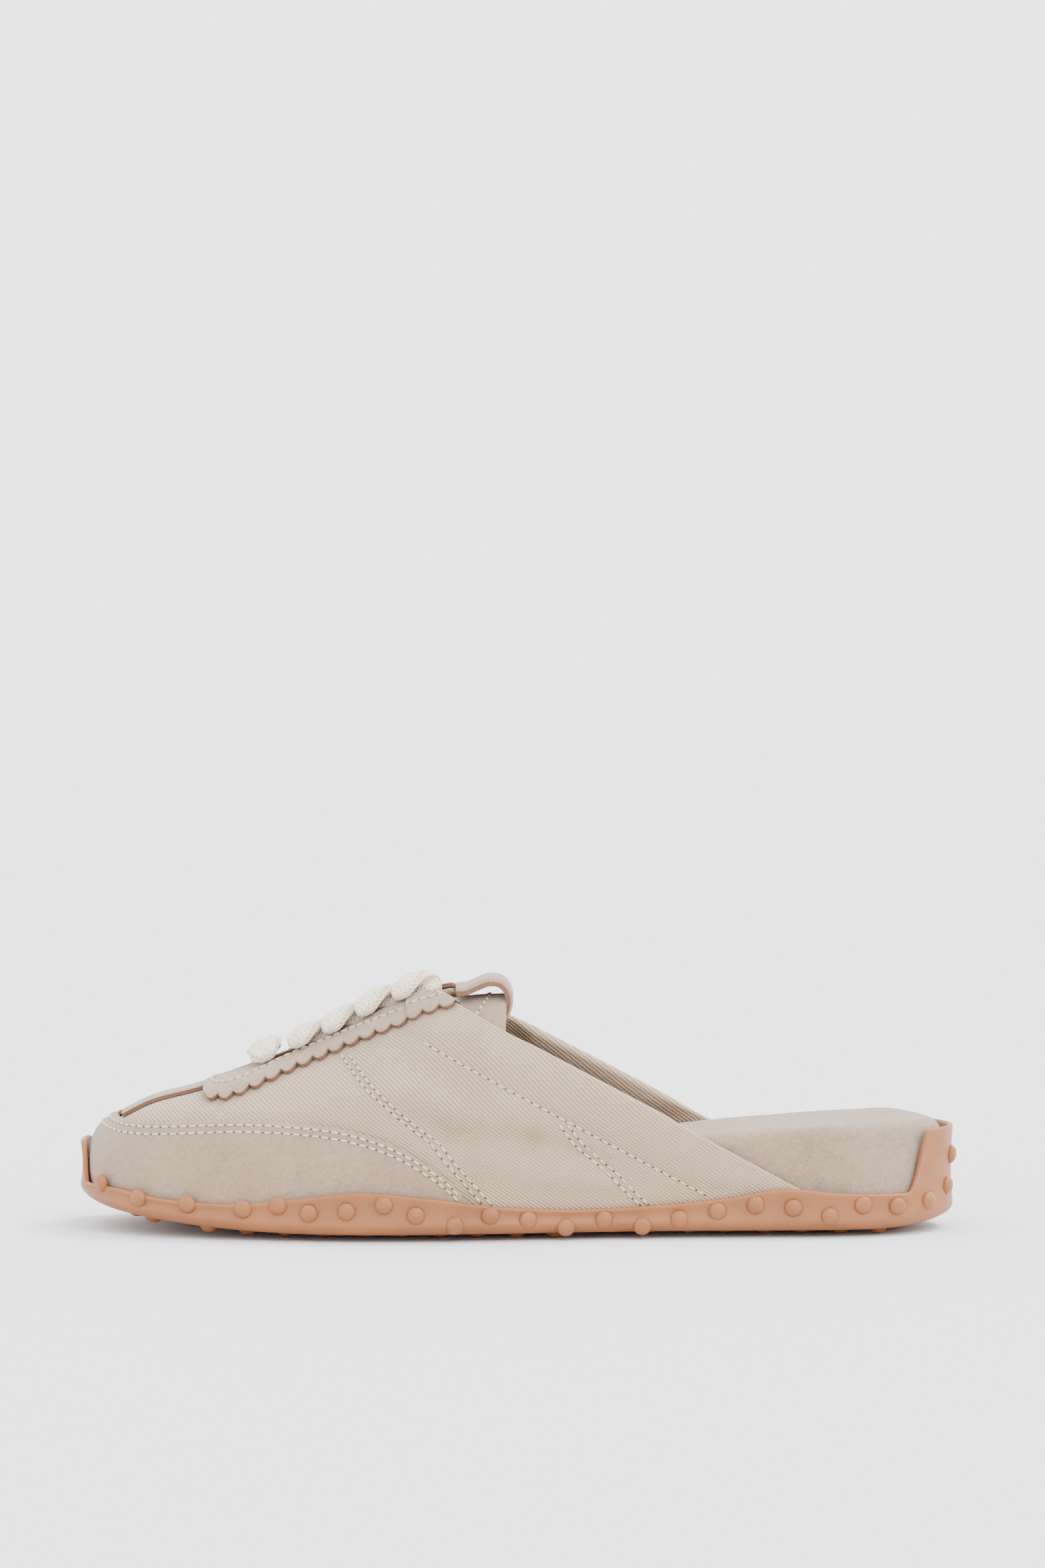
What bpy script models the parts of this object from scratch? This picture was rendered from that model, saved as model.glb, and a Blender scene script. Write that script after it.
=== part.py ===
"""Backless suede-and-cotton sneaker mule, left shoe.

The shoe stands on its studs at z = 0 with its toe towards -X and its outer side towards -Y.
Every piece is worked out from one last: a plan outline, a ridge line and the roundness of
the sections between them.  Tables give stations as shares of the length, counted from the toe.
"""
import math

import bmesh
import bpy
import numpy as np
from mathutils import Matrix, Vector

# Driving sizes, in metres
LENGTH = 0.2625
BALL_WIDTH = 0.090
RIDGE_HEIGHT = 0.0735
RIM_HEIGHT = 0.0147
SPRING_HEIGHT = 0.0075
BED_HEIGHT = 0.0340

STUD_DROP = 0.0020
STUD_WIDTH = 0.0052
STUD_TIP_WIDTH = 0.0032
STUD_PITCH = 0.0113
STUD_MARGIN = 0.0075
STUD_SIDES = 6
WALL_STUD_STAND = 0.0010

SOLE_BASE = 0.0040
RIM_WALL = 0.0016
BUMPER_HEIGHT = 0.0262
BUMPER_WIDTH = 0.0220
TAB_HEIGHT = 0.0310
TAB_WIDTH = 0.0440
TAB_SLOPE = 0.0060

UPPER_WALL = 0.0022
COLLAR_WALL = 0.0042
COLLAR_ROLL = 0.0100
GUARD_WALL = 0.0014
STRIP_WALL = 0.0014
STAY_WALL = 0.0014
TONGUE_WALL = 0.0030
LOOP_WALL = 0.0020
GAP = 0.0003
SKIN_GAP = 0.0006
TONGUE_CLEARANCE = 0.0012

THROAT_WIDTH = 0.0170
STRIP_WIDTH = 0.0160
TONGUE_WIDTH = 0.0480
LOOP_WIDTH = 0.0220
EYELET_SPREAD = 0.0240
LACE_WIDTH = 0.0080
LACE_THICK = 0.0030
LACE_ARCH = 0.0022
BED_SHOULDER = 0.0040
BED_CLEARANCE = 0.0006
BED_DISH = 0.0012

# Stations, as shares of the length from the toe
TOE_FAN_FRONT = 0.105
TOE_FAN_BACK = 0.200
THROAT_FRONT = 0.204
STAY_FRONT = 0.146
STAY_END = 0.409
COLLAR_TOP = 0.438
COLLAR_FOOT = 0.811
UPPER_END = 0.842
GUARD_END = 0.452
STRIP_FRONT = 0.064
STRIP_BACK = 0.138
TONGUE_FRONT = 0.170
TONGUE_END = 0.484
EYELET_FRONT = 0.217
EYELET_STEP = 0.0393
EYELET_ROWS = 5

# Heights of the collar line
STAY_END_HEIGHT = 0.0715
COLLAR_TOP_HEIGHT = 0.0675
COLLAR_FOOT_HEIGHT = 0.0145

# Plan outline: station, outer side and inner side as shares of the ball width
OUTLINE = (
    (0.000, 0.050, 0.050),
    (0.012, -0.125, 0.215),
    (0.040, -0.245, 0.330),
    (0.090, -0.345, 0.412),
    (0.150, -0.412, 0.462),
    (0.220, -0.458, 0.490),
    (0.300, -0.490, 0.490),
    (0.370, -0.496, 0.455),
    (0.460, -0.468, 0.382),
    (0.560, -0.420, 0.325),
    (0.660, -0.385, 0.316),
    (0.760, -0.370, 0.332),
    (0.860, -0.352, 0.336),
    (0.930, -0.298, 0.296),
    (0.975, -0.190, 0.192),
    (1.000, 0.000, 0.000),
)

# Last: station, ridge height as a share of RIDGE_HEIGHT, squareness of the section
RIDGE = (
    (0.000, 0.465, 4.60),
    (0.050, 0.515, 4.00),
    (0.100, 0.562, 3.20),
    (0.140, 0.602, 2.75),
    (0.175, 0.650, 2.50),
    (0.245, 0.735, 2.20),
    (0.310, 0.856, 2.10),
    (0.355, 0.940, 2.15),
    (0.400, 0.984, 2.25),
    (0.440, 1.000, 2.35),
    (0.500, 1.005, 2.40),
    (0.850, 1.000, 2.40),
)

# Wavy rubber edge: station, height as a share of RIM_HEIGHT
RIM = (
    (0.000, 0.98),
    (0.040, 0.96),
    (0.100, 0.81),
    (0.200, 0.76),
    (0.260, 0.88),
    (0.325, 1.00),
    (0.400, 0.89),
    (0.480, 0.71),
    (0.570, 0.63),
    (0.650, 0.68),
    (0.740, 0.83),
    (0.805, 0.99),
    (0.860, 0.90),
    (0.930, 0.86),
    (1.000, 0.86),
)

# Underside: station, rise as a share of SPRING_HEIGHT
SPRING = (
    (0.000, 1.00),
    (0.020, 0.82),
    (0.060, 0.57),
    (0.110, 0.36),
    (0.170, 0.17),
    (0.240, 0.04),
    (0.300, 0.00),
    (0.340, 0.00),
    (0.860, 0.00),
    (0.900, 0.00),
    (0.960, 0.10),
    (1.000, 0.30),
)

# Footbed top: station, height as a share of BED_HEIGHT
BED = (
    (0.000, 0.56),
    (0.060, 0.51),
    (0.150, 0.42),
    (0.280, 0.37),
    (0.400, 0.44),
    (0.520, 0.62),
    (0.620, 0.78),
    (0.710, 0.88),
    (0.800, 0.935),
    (0.900, 0.975),
    (0.950, 0.99),
    (1.000, 0.90),
)

# Guard edge: station, height as a share of RIDGE_HEIGHT
GUARD_EDGE = (
    (0.000, 0.430),
    (0.110, 0.446),
    (0.200, 0.458),
    (0.280, 0.448),
    (0.320, 0.428),
    (0.350, 0.398),
    (0.375, 0.360),
    (0.400, 0.308),
    (0.425, 0.240),
    (0.452, 0.130),
)

# Eyestay lower edge: station, height as a share of RIDGE_HEIGHT
STAY_EDGE = (
    (0.145, 0.590),
    (0.155, 0.565),
    (0.175, 0.562),
    (0.190, 0.572),
    (0.210, 0.592),
    (0.240, 0.640),
    (0.275, 0.688),
    (0.310, 0.735),
    (0.345, 0.787),
    (0.380, 0.834),
    (0.415, 0.883),
    (0.440, 0.918),
)

# Pull loop, along its middle: station, height as a share of RIDGE_HEIGHT
LOOP_ROUTE = (
    (0.432, 0.984),
    (0.444, 0.988),
    (0.456, 1.006),
    (0.468, 1.022),
    (0.480, 1.020),
    (0.488, 0.998),
    (0.492, 0.964),
    (0.492, 0.930),
    (0.488, 0.890),
    (0.480, 0.864),
    (0.468, 0.856),
)

OUTLINE_STEPS = 34
LAST_STEPS = 30
UPPER_ROWS = 11
COLOURS = {
    "outsole": ((0.42, 0.20, 0.075), 0.45),
    "footbed": ((0.46, 0.37, 0.29), 0.95),
    "upper": ((0.56, 0.47, 0.37), 0.90),
    "toe_guard": ((0.43, 0.34, 0.26), 0.95),
    "toe_strip": ((0.43, 0.34, 0.26), 0.95),
    "eyestay": ((0.43, 0.34, 0.26), 0.95),
    "tongue": ((0.43, 0.34, 0.26), 0.95),
    "pull_loop": ((0.43, 0.34, 0.26), 0.95),
    "lace": ((0.80, 0.76, 0.68), 0.85),
}


def smooth_curve(xs, ys, x):
    """Cubic through the rows of a table, with slopes from the neighbouring rows."""
    xs = np.asarray(xs, float)
    ys = np.asarray(ys, float)
    slopes = np.gradient(ys, xs)
    x = np.clip(x, xs[0], xs[-1])
    row = int(np.clip(np.searchsorted(xs, x) - 1, 0, len(xs) - 2))
    span = xs[row + 1] - xs[row]
    k = (x - xs[row]) / span
    rise = ys[row] * (1 + 2 * k) * (1 - k) ** 2 + ys[row + 1] * k * k * (3 - 2 * k)
    bend = slopes[row] * k * (1 - k) ** 2 - slopes[row + 1] * k * k * (1 - k)
    return float(rise + bend * span)


def from_table(table, column, station):
    return smooth_curve([row[0] for row in table], [row[column] for row in table], station)


def turn_of(station):
    """Angle that spreads the stations of a round end evenly."""
    return math.acos(1 - 2 * min(max(station, 0.0), 1.0))


def x_at(station):
    return (station - 0.5) * LENGTH


def ease(value):
    k = min(max(value, 0.0), 1.0)
    return k * k * (3 - 2 * k)


def outline_side(station, side):
    """Distance of the plan outline from the long axis; side -1 is outer, +1 inner."""
    column = 1 if side < 0 else 2
    turns = [turn_of(row[0]) for row in OUTLINE]
    shares = [row[column] for row in OUTLINE]
    return smooth_curve(turns, shares, turn_of(station)) * BALL_WIDTH


def stations(first, last, steps):
    """Stations from first to last, evenly spread in turn."""
    low = turn_of(first)
    high = turn_of(last)
    return [(1 - math.cos(low + (high - low) * i / steps)) / 2 for i in range(steps + 1)]


def outline_point(station, side, inset):
    """Point of the outline moved in by inset, square to the outline."""
    step = 0.02
    turn = turn_of(station)
    ends = []
    for angle in (turn - step, turn + step):
        where = (1 - math.cos(angle)) / 2
        flip = 1 if 0 < angle < math.pi else -1
        ends.append((x_at(where), outline_side(where, side * flip)))
    along = Vector((ends[1][0] - ends[0][0], ends[1][1] - ends[0][1])).normalized()
    inward = Vector((along.y, -along.x)) * side
    return x_at(station) + inward.x * inset, outline_side(station, side) + inward.y * inset


def underside(station):
    return STUD_DROP + max(from_table(SPRING, 1, station), 0.0) * SPRING_HEIGHT


def cup_floor(station):
    return underside(station) + SOLE_BASE


def from_end(station, side, end):
    """Distance across the shoe from the middle of the toe or of the heel."""
    middle = outline_side(end, side)
    return abs(outline_side(station, side) - middle) if abs(station - end) < 0.5 else BALL_WIDTH


def rim_height(station, side):
    """Top of the rubber wall, with the toe bumper and the heel tab."""
    height = from_table(RIM, 1, station) * RIM_HEIGHT
    toe = ease((BUMPER_WIDTH / 2 - from_end(station, side, 0.0)) / TAB_SLOPE + 0.5)
    heel = ease((TAB_WIDTH / 2 - from_end(station, side, 1.0)) / TAB_SLOPE + 0.5)
    height += (BUMPER_HEIGHT - height) * toe
    height += (TAB_HEIGHT - height) * heel
    return height


def bed_top(station):
    return from_table(BED, 1, station) * BED_HEIGHT


def skin_inset(station):
    """How far in from the sole's outline the upper stands; further where the guard covers it."""
    covered = 1 - ease((station - GUARD_END + 0.01) / 0.03)
    return RIM_WALL + SKIN_GAP + covered * (GUARD_WALL + SKIN_GAP)


def spine_station(station):
    """Station on the ridge where the section from an outline station ends."""
    if station >= TOE_FAN_BACK:
        return station
    fan = TOE_FAN_BACK - TOE_FAN_FRONT
    return TOE_FAN_FRONT + fan * (station / TOE_FAN_BACK) ** (TOE_FAN_BACK / fan)


def fan_station(top):
    """Outline station of the section that ends at a station on the ridge."""
    fan = TOE_FAN_BACK - TOE_FAN_FRONT
    return TOE_FAN_BACK * ((top - TOE_FAN_FRONT) / fan) ** (fan / TOE_FAN_BACK)


def spine_side(station):
    """The ridge runs midway between the two sides."""
    return (outline_side(station, -1) + outline_side(station, 1)) / 2


def ridge_height(station):
    return from_table(RIDGE, 1, station) * RIDGE_HEIGHT


def skin(station, side, climb):
    """Outer face of the upper: climb 0 is the foot of the wall, 1 the ridge."""
    foot_x, foot_y = outline_point(station, side, skin_inset(station))
    top = spine_station(station)
    top_x = x_at(top)
    top_y = spine_side(top)
    power = 2 / from_table(RIDGE, 2, station)
    angle = climb * math.pi / 2
    across = 1 - max(math.cos(angle), 0.0) ** power
    x = foot_x + (top_x - foot_x) * across
    y = foot_y + (top_y - foot_y) * across
    foot = cup_floor(station) + GAP
    rise = max(math.sin(angle), 0.0) ** power
    return Vector((x, y, foot + (ridge_height(x / LENGTH + 0.5) - foot) * rise))


def lifted(station, side, climb, lift):
    """Point above the upper's outer face by lift."""
    climb = min(max(climb, 0.0), 1.0)
    step = 0.012
    low = min(max(climb - step, 0.02), 0.96)
    high = min(low + 2 * step, 0.985)
    up = skin(station, side, high) - skin(station, side, low)
    back = min(station + 0.006, 0.995)
    front = max(station - 0.006, 0.0)
    middle = (low + high) / 2
    along = skin(back, side, middle) - skin(front, side, middle)
    if station < 0.004:
        along = skin(0.006, 1, middle) - skin(0.006, -1, middle)
        along *= side
    normal = along.cross(up).normalized() * -side
    if climb > 0.985:
        top = spine_station(station)
        rise = ridge_height(top + 0.01) - ridge_height(top - 0.01)
        normal = Vector((-rise, 0, 0.02 * LENGTH)).normalized()
    if normal.z < -0.2:
        normal = -normal
    return skin(station, side, climb) + normal * lift


def throat_half(station):
    """Half the width of the throat, with a round front."""
    back = THROAT_WIDTH / 2
    depth = (station - THROAT_FRONT) * LENGTH
    if depth <= 0:
        return 0.0
    if depth >= back:
        return back
    return math.sqrt(back * back - (back - depth) ** 2)


def collar_line(station):
    """Height of the top line behind the laces."""
    if station < COLLAR_TOP:
        run = (station - STAY_END) / (COLLAR_TOP - STAY_END)
        return STAY_END_HEIGHT + run * (COLLAR_TOP_HEIGHT - STAY_END_HEIGHT)
    run = (station - COLLAR_TOP) / (COLLAR_FOOT - COLLAR_TOP)
    return COLLAR_TOP_HEIGHT + run * (COLLAR_FOOT_HEIGHT - COLLAR_TOP_HEIGHT)


def in_upper(point):
    station = point.x / LENGTH + 0.5
    if abs(point.y - spine_side(station)) < throat_half(station):
        return False
    return station < STAY_END or point.z < collar_line(station)


def climb_until(station, side, keeps):
    """Highest climb at which the outer face still keeps to a rule."""
    if keeps(skin(station, side, 1.0)):
        return 1.0
    low = 0.0
    high = 1.0
    for _ in range(22):
        middle = (low + high) / 2
        if keeps(skin(station, side, middle)):
            low = middle
        else:
            high = middle
    return low


def opening_climb(station, side):
    return climb_until(station, side, in_upper)


def edge_climb(station, side, table):
    def below(point):
        return point.z < from_table(table, 1, point.x / LENGTH + 0.5) * RIDGE_HEIGHT

    return climb_until(station, side, below)


def finish_object(name, bm, colour):
    bmesh.ops.remove_doubles(bm, verts=bm.verts, dist=0.00001)
    bmesh.ops.recalc_face_normals(bm, faces=bm.faces)
    mesh = bpy.data.meshes.new(name)
    bm.to_mesh(mesh)
    bm.free()
    rgb, roughness = COLOURS[colour]
    material = bpy.data.materials.get(colour) or bpy.data.materials.new(colour)
    material.use_nodes = True
    shader = material.node_tree.nodes["Principled BSDF"]
    shader.inputs["Base Color"].default_value = (*rgb, 1)
    shader.inputs["Roughness"].default_value = roughness
    mesh.materials.append(material)
    mesh.shade_smooth()
    mesh.set_sharp_from_angle(angle=math.radians(35))
    item = bpy.data.objects.new(name, mesh)
    bpy.context.collection.objects.link(item)
    return item


def shell(name, rows, colour, seam=False):
    """Closed solid between two sheets; rows hold pairs of outer and inner points.

    With seam, the two ends of each row lie on the ridge together and are merged there.
    """
    bm = bmesh.new()
    outer = [[bm.verts.new(pair[0]) for pair in row] for row in rows]
    inner = [[bm.verts.new(pair[1]) for pair in row] for row in rows]
    rings = len(rows)
    width = len(rows[0])
    for i in range(rings - 1):
        for j in range(width - 1):
            bm.faces.new((outer[i][j], outer[i + 1][j], outer[i + 1][j + 1], outer[i][j + 1]))
            bm.faces.new((inner[i][j], inner[i][j + 1], inner[i + 1][j + 1], inner[i + 1][j]))
    for i in range(rings - 1):
        for j in (0, width - 1):
            here = rows[i][j]
            there = rows[i + 1][j]
            partner = rows[rings - 1 - i][j]
            next_partner = rows[rings - 2 - i][j]
            meets = (here[0] - partner[0]).length < 0.00001
            next_meets = (there[0] - next_partner[0]).length < 0.00001
            if seam and j == width - 1 and meets and next_meets:
                continue
            bm.faces.new((outer[i][j], inner[i][j], inner[i + 1][j], outer[i + 1][j]))
    for j in range(width - 1):
        for i in (0, rings - 1):
            bm.faces.new((outer[i][j], outer[i][j + 1], inner[i][j + 1], inner[i][j]))
    return finish_object(name, bm, colour)


def columns(first, last):
    """Stations of the last round the toe: outer side forwards, then inner side back.

    Every piece on the last shares them, so that their facets lie over each other.
    """
    run = stations(0.0, UPPER_END, LAST_STEPS)
    run += [fan_station(STAY_FRONT + ahead) for ahead in (0.0, 0.0006, 0.0018, 0.0036)]
    run = sorted(s for s in run if first <= s <= last)
    return [(s, -1) for s in reversed(run)] + [(s, 1) for s in run[1:]]


def ring_stack(name, rings, colour):
    """Closed solid from rings of the outline, filled across at the first and the last ring."""
    bm = bmesh.new()
    loops = [[bm.verts.new(point) for point in ring] for ring in rings]
    count = len(loops[0])
    for below, above in zip(loops, loops[1:]):
        for k in range(count):
            n = (k + 1) % count
            bm.faces.new((below[k], below[n], above[n], above[k]))
    half = count // 2
    for loop in (loops[0], loops[-1]):
        for k in range(half):
            corners = [loop[k], loop[k + 1], loop[-k - 1], loop[-k]]
            face = list(dict.fromkeys(corners))
            bm.faces.new(face)
    return finish_object(name, bm, colour)


def sole_ring(inset, height):
    """Ring of points from the heel along the outer side to the toe and back along the inner."""
    run = stations(0.0, 1.0, OUTLINE_STEPS)
    path = [(s, -1) for s in reversed(run)] + [(s, 1) for s in run[1:-1]]
    ring = []
    for station, side in path:
        x, y = outline_point(station, side, inset(station, side))
        ring.append(Vector((x, y, height(station, side))))
    return ring


def even(distance):
    return lambda station, side: distance


def stud(bm, place, direction, base, tip, depth):
    """One round stud with a flat tip, its tip at place and its axis along direction."""
    turn = direction.to_track_quat("Z", "Y").to_matrix().to_4x4()
    centre = place - direction * depth / 2
    bmesh.ops.create_cone(
        bm, cap_ends=True, segments=STUD_SIDES, radius1=base / 2, radius2=tip / 2,
        depth=depth, matrix=Matrix.Translation(centre) @ turn)


def bottom_studs(bm):
    """Staggered rows under the whole sole, each tip STUD_DROP below the underside."""
    down = Vector((0, 0, -1))
    count = int(LENGTH / STUD_PITCH * 2)
    rows = int(BALL_WIDTH / STUD_PITCH) + 1
    for i in range(count + 1):
        x = (i - count / 2) * STUD_PITCH / 2
        station = x / LENGTH + 0.5
        if not 0.02 < station < 0.985:
            continue
        for j in range(-rows, rows + 1):
            y = (j + 0.5 * (i % 2)) * STUD_PITCH * math.sqrt(3)
            low = outline_side(station, -1) + STUD_MARGIN
            high = outline_side(station, 1) - STUD_MARGIN
            if not low < y < high or min(station, 1 - station) * LENGTH < STUD_MARGIN:
                continue
            place = Vector((x, y, underside(station) - STUD_DROP))
            stud(bm, place, down, STUD_WIDTH, STUD_TIP_WIDTH, STUD_DROP + 0.0012)


def wall_studs(bm):
    """One row round the wall, alternately higher and lower between the floor and the edge."""
    count = int(LENGTH * 0.94 / STUD_PITCH)
    for side in (-1, 1):
        for i in range(count):
            station = 0.055 + i * STUD_PITCH / LENGTH
            x, y = outline_point(station, side, 0.0)
            inner_x, inner_y = outline_point(station, side, 0.001)
            outward = Vector((x - inner_x, y - inner_y, 0)).normalized()
            share = 0.46 + 0.14 * math.sin(i * math.pi / 2)
            low = underside(station)
            height = low + (rim_height(station, side) - low) * share
            place = Vector((x, y, height)) + outward * WALL_STUD_STAND
            stud(bm, place, outward, STUD_WIDTH, STUD_TIP_WIDTH, WALL_STUD_STAND + 0.0008)


def make_outsole():
    """Rubber cup with a round lower edge, a thin rim and studs."""
    half_wall = RIM_WALL * 0.5
    undercut = STUD_MARGIN * 0.55
    rings = [
        sole_ring(even(undercut), lambda s, side: underside(s)),
        sole_ring(even(undercut * 0.3), lambda s, side: underside(s) + SOLE_BASE * 0.28),
        sole_ring(even(0.0), lambda s, side: underside(s) + SOLE_BASE * 0.85),
        sole_ring(even(0.0), lambda s, side: rim_height(s, side) - half_wall),
        sole_ring(even(half_wall * 0.6), rim_height),
        sole_ring(even(RIM_WALL), rim_height),
        sole_ring(even(RIM_WALL), lambda s, side: cup_floor(s)),
    ]
    sole = ring_stack("outsole", rings, "outsole")
    bm = bmesh.new()
    bottom_studs(bm)
    wall_studs(bm)
    studs = finish_object("stud_cutter", bm, "outsole")
    studs.hide_render = True
    studs.display_type = "WIRE"
    union = sole.modifiers.new("studs", "BOOLEAN")
    union.operation = "UNION"
    union.solver = "EXACT"
    union.object = studs


def lean(station, side, height):
    """How far the upper's wall has leaned in at a height."""
    foot = cup_floor(station) + GAP
    power = from_table(RIDGE, 2, station)
    share = min(max((height - foot) / (ridge_height(station) - foot), 0.0), 0.95)
    half = abs(outline_side(station, side) - spine_side(station))
    return half * (1 - (1 - share ** power) ** (1 / power))


def bed_inset(station, side):
    """The footbed stands inside the upper, and fills the cup behind it."""
    inside = skin_inset(station) + UPPER_WALL + BED_CLEARANCE + lean(station, side, bed_top(station))
    behind = ease((station - UPPER_END - 0.008) / 0.012)
    return inside + (RIM_WALL + GAP - inside) * behind


def make_footbed():
    rings = [
        sole_ring(bed_inset, lambda s, side: cup_floor(s) + GAP),
        sole_ring(bed_inset, lambda s, side: bed_top(s) - BED_SHOULDER * 0.75),
        sole_ring(lambda s, side: bed_inset(s, side) + BED_SHOULDER * 0.3,
                  lambda s, side: bed_top(s) - BED_SHOULDER * 0.25),
        sole_ring(lambda s, side: bed_inset(s, side) + BED_SHOULDER, lambda s, side: bed_top(s)),
        sole_ring(lambda s, side: bed_inset(s, side) + BED_SHOULDER * 2.2,
                  lambda s, side: bed_top(s) - BED_DISH * ease((s - 0.5) * 4)),
    ]
    ring_stack("footbed", rings, "footbed")


def collar_thickness(point):
    """The wall thickens towards the collar, above the footbed."""
    station = point.x / LENGTH + 0.5
    if station < TONGUE_END:
        return UPPER_WALL
    near = ease(1 - (collar_line(station) - point.z) / COLLAR_ROLL)
    above = ease((point.z - bed_top(station) - 0.001) / 0.008)
    ahead = ease((station - TONGUE_END - 0.01) / 0.03)
    return UPPER_WALL + (COLLAR_WALL - UPPER_WALL) * near * above * ahead


def make_upper():
    rows = []
    for station, side in columns(0.0, UPPER_END):
        reach = opening_climb(station, side)
        row = []
        for j in range(UPPER_ROWS + 1):
            climb = reach * j / UPPER_ROWS
            outer = lifted(station, side, climb, 0.0)
            inner = lifted(station, side, climb, -collar_thickness(outer))
            inner.z = max(inner.z, outer.z - UPPER_WALL * 1.4)
            row.append((outer, inner))
        rows.append(row)
    shell("upper", rows, "upper", seam=True)


def make_toe_guard():
    rows = []
    steps = 6
    for station, side in columns(0.0, GUARD_END):
        reach = edge_climb(station, side, GUARD_EDGE)
        row = []
        for j in range(steps + 1):
            climb = reach * j / steps
            inner = lifted(station, side, climb, SKIN_GAP)
            outer = lifted(station, side, climb, SKIN_GAP + GUARD_WALL)
            row.append((outer, inner))
        rows.append(row)
    shell("toe_guard", rows, "toe_guard")


def ridge_point(station, across, lift):
    """Point over the ridge, across from it by a distance, above the outer face by lift."""
    side = -1 if across < 0 else 1

    def face(s, off):
        half = abs(outline_side(s, side) - spine_side(s)) - skin_inset(s)
        power = from_table(RIDGE, 2, s)
        foot = cup_floor(s) + GAP
        share = min(abs(off) / half, 0.999)
        rise = (1 - share ** power) ** (1 / power)
        return Vector((x_at(s), spine_side(s) + off, foot + (ridge_height(s) - foot) * rise))

    step = 0.0008
    along = face(station + step / LENGTH, across) - face(station - step / LENGTH, across)
    over = face(station, across + step) - face(station, across - step)
    return face(station, across) + along.cross(over).normalized() * lift


def make_toe_strip():
    """Strip over the ridge between the guard and the eyestay."""
    steps = 6
    wide = 6
    rows = []
    for i in range(steps + 1):
        station = STRIP_FRONT + (STRIP_BACK - STRIP_FRONT) * i / steps
        row = []
        for j in range(wide + 1):
            off = (j / wide - 0.5) * STRIP_WIDTH
            inner = fan_point(station, off, SKIN_GAP)
            row.append((fan_point(station, off, SKIN_GAP + STRIP_WALL), inner))
        rows.append(row)
    shell("toe_strip", rows, "toe_strip")


def fan_point(station, across, lift):
    """Point on the toe's outer face at a plan place, found by searching the sections."""
    side = -1 if across < 0 else 1
    x = x_at(station)
    y = spine_side(station) + across
    low = 0.0
    high = station
    climb = 1.0
    for _ in range(24):
        middle = (low + high) / 2
        climb = climb_until(middle, side, lambda p: side * (p.y - y) > 0)
        if skin(middle, side, climb).x < x:
            low = middle
        else:
            high = middle
    return lifted(low, side, climb, lift)


def stay_low(station, side):
    """Climb at the eyestay's lower and front edge."""
    def below(point):
        where = point.x / LENGTH + 0.5
        return where < STAY_FRONT or point.z < from_table(STAY_EDGE, 1, where) * RIDGE_HEIGHT

    return climb_until(station, side, below)


def make_eyestay():
    rows = []
    wide = 8
    for station, side in columns(fan_station(STAY_FRONT), COLLAR_TOP):
        low = stay_low(station, side)
        high = opening_climb(station, side)
        row = []
        for j in range(wide + 1):
            climb = low + (high - low) * j / wide
            inner = lifted(station, side, climb, SKIN_GAP)
            row.append((lifted(station, side, climb, SKIN_GAP + STAY_WALL), inner))
        rows.append(row)
    shell("eyestay", rows, "eyestay", seam=True)


def make_tongue():
    """Tongue under the throat, following the inside of the upper."""
    steps = 14
    wide = 10
    rows = []
    top = -(UPPER_WALL + TONGUE_CLEARANCE)
    for i in range(steps + 1):
        station = TONGUE_FRONT + (TONGUE_END - TONGUE_FRONT) * i / steps
        row = []
        for j in range(wide + 1):
            off = (j / wide - 0.5) * TONGUE_WIDTH
            row.append((ridge_point(station, off, top), ridge_point(station, off, top - TONGUE_WALL)))
        rows.append(row)
    shell("tongue", rows, "tongue")


def make_pull_loop():
    """Band that stands off over the end of the tongue and tucks in behind it."""
    wide = 4
    rows = []
    count = len(LOOP_ROUTE)
    middle = [Vector((x_at(s), spine_side(0.46), h * RIDGE_HEIGHT)) for s, h in LOOP_ROUTE]
    for i in range(count):
        along = middle[min(i + 1, count - 1)] - middle[max(i - 1, 0)]
        normal = Vector((-along.z, 0, along.x)).normalized() * LOOP_WALL / 2
        row = []
        for j in range(wide + 1):
            off = (j / wide - 0.5) * LOOP_WIDTH
            drop = Vector((0, off, -off * off * 9))
            row.append((middle[i] + normal + drop, middle[i] - normal + drop))
        rows.append(row)
    shell("pull_loop", rows, "pull_loop")


def lace_run(bm, start, end, rise_start, rise_end, arch):
    """Flat lace between two plan places, given as station and distance across."""
    steps = 6
    sides = 6
    path = []
    for i in range(steps + 1):
        k = i / steps
        station = start[0] + (end[0] - start[0]) * k
        across = start[1] + (end[1] - start[1]) * k
        lift = rise_start + (rise_end - rise_start) * k + arch * math.sin(math.pi * k)
        path.append(ridge_point(station, across, lift))
    loops = []
    for i in range(steps + 1):
        along = (path[min(i + 1, steps)] - path[max(i - 1, 0)]).normalized()
        flat = along.cross(Vector((0.5, 0, -1))).normalized()
        up = flat.cross(along).normalized()
        loop = []
        for k in range(sides):
            angle = math.tau * k / sides
            reach = flat * math.cos(angle) * LACE_WIDTH / 2 + up * math.sin(angle) * LACE_THICK / 2
            loop.append(bm.verts.new(path[i] + reach))
        loops.append(loop)
    for here, there in zip(loops, loops[1:]):
        for k in range(sides):
            n = (k + 1) % sides
            bm.faces.new((here[k], here[n], there[n], there[k]))
    bm.faces.new(loops[0])
    bm.faces.new(loops[-1])


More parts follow.
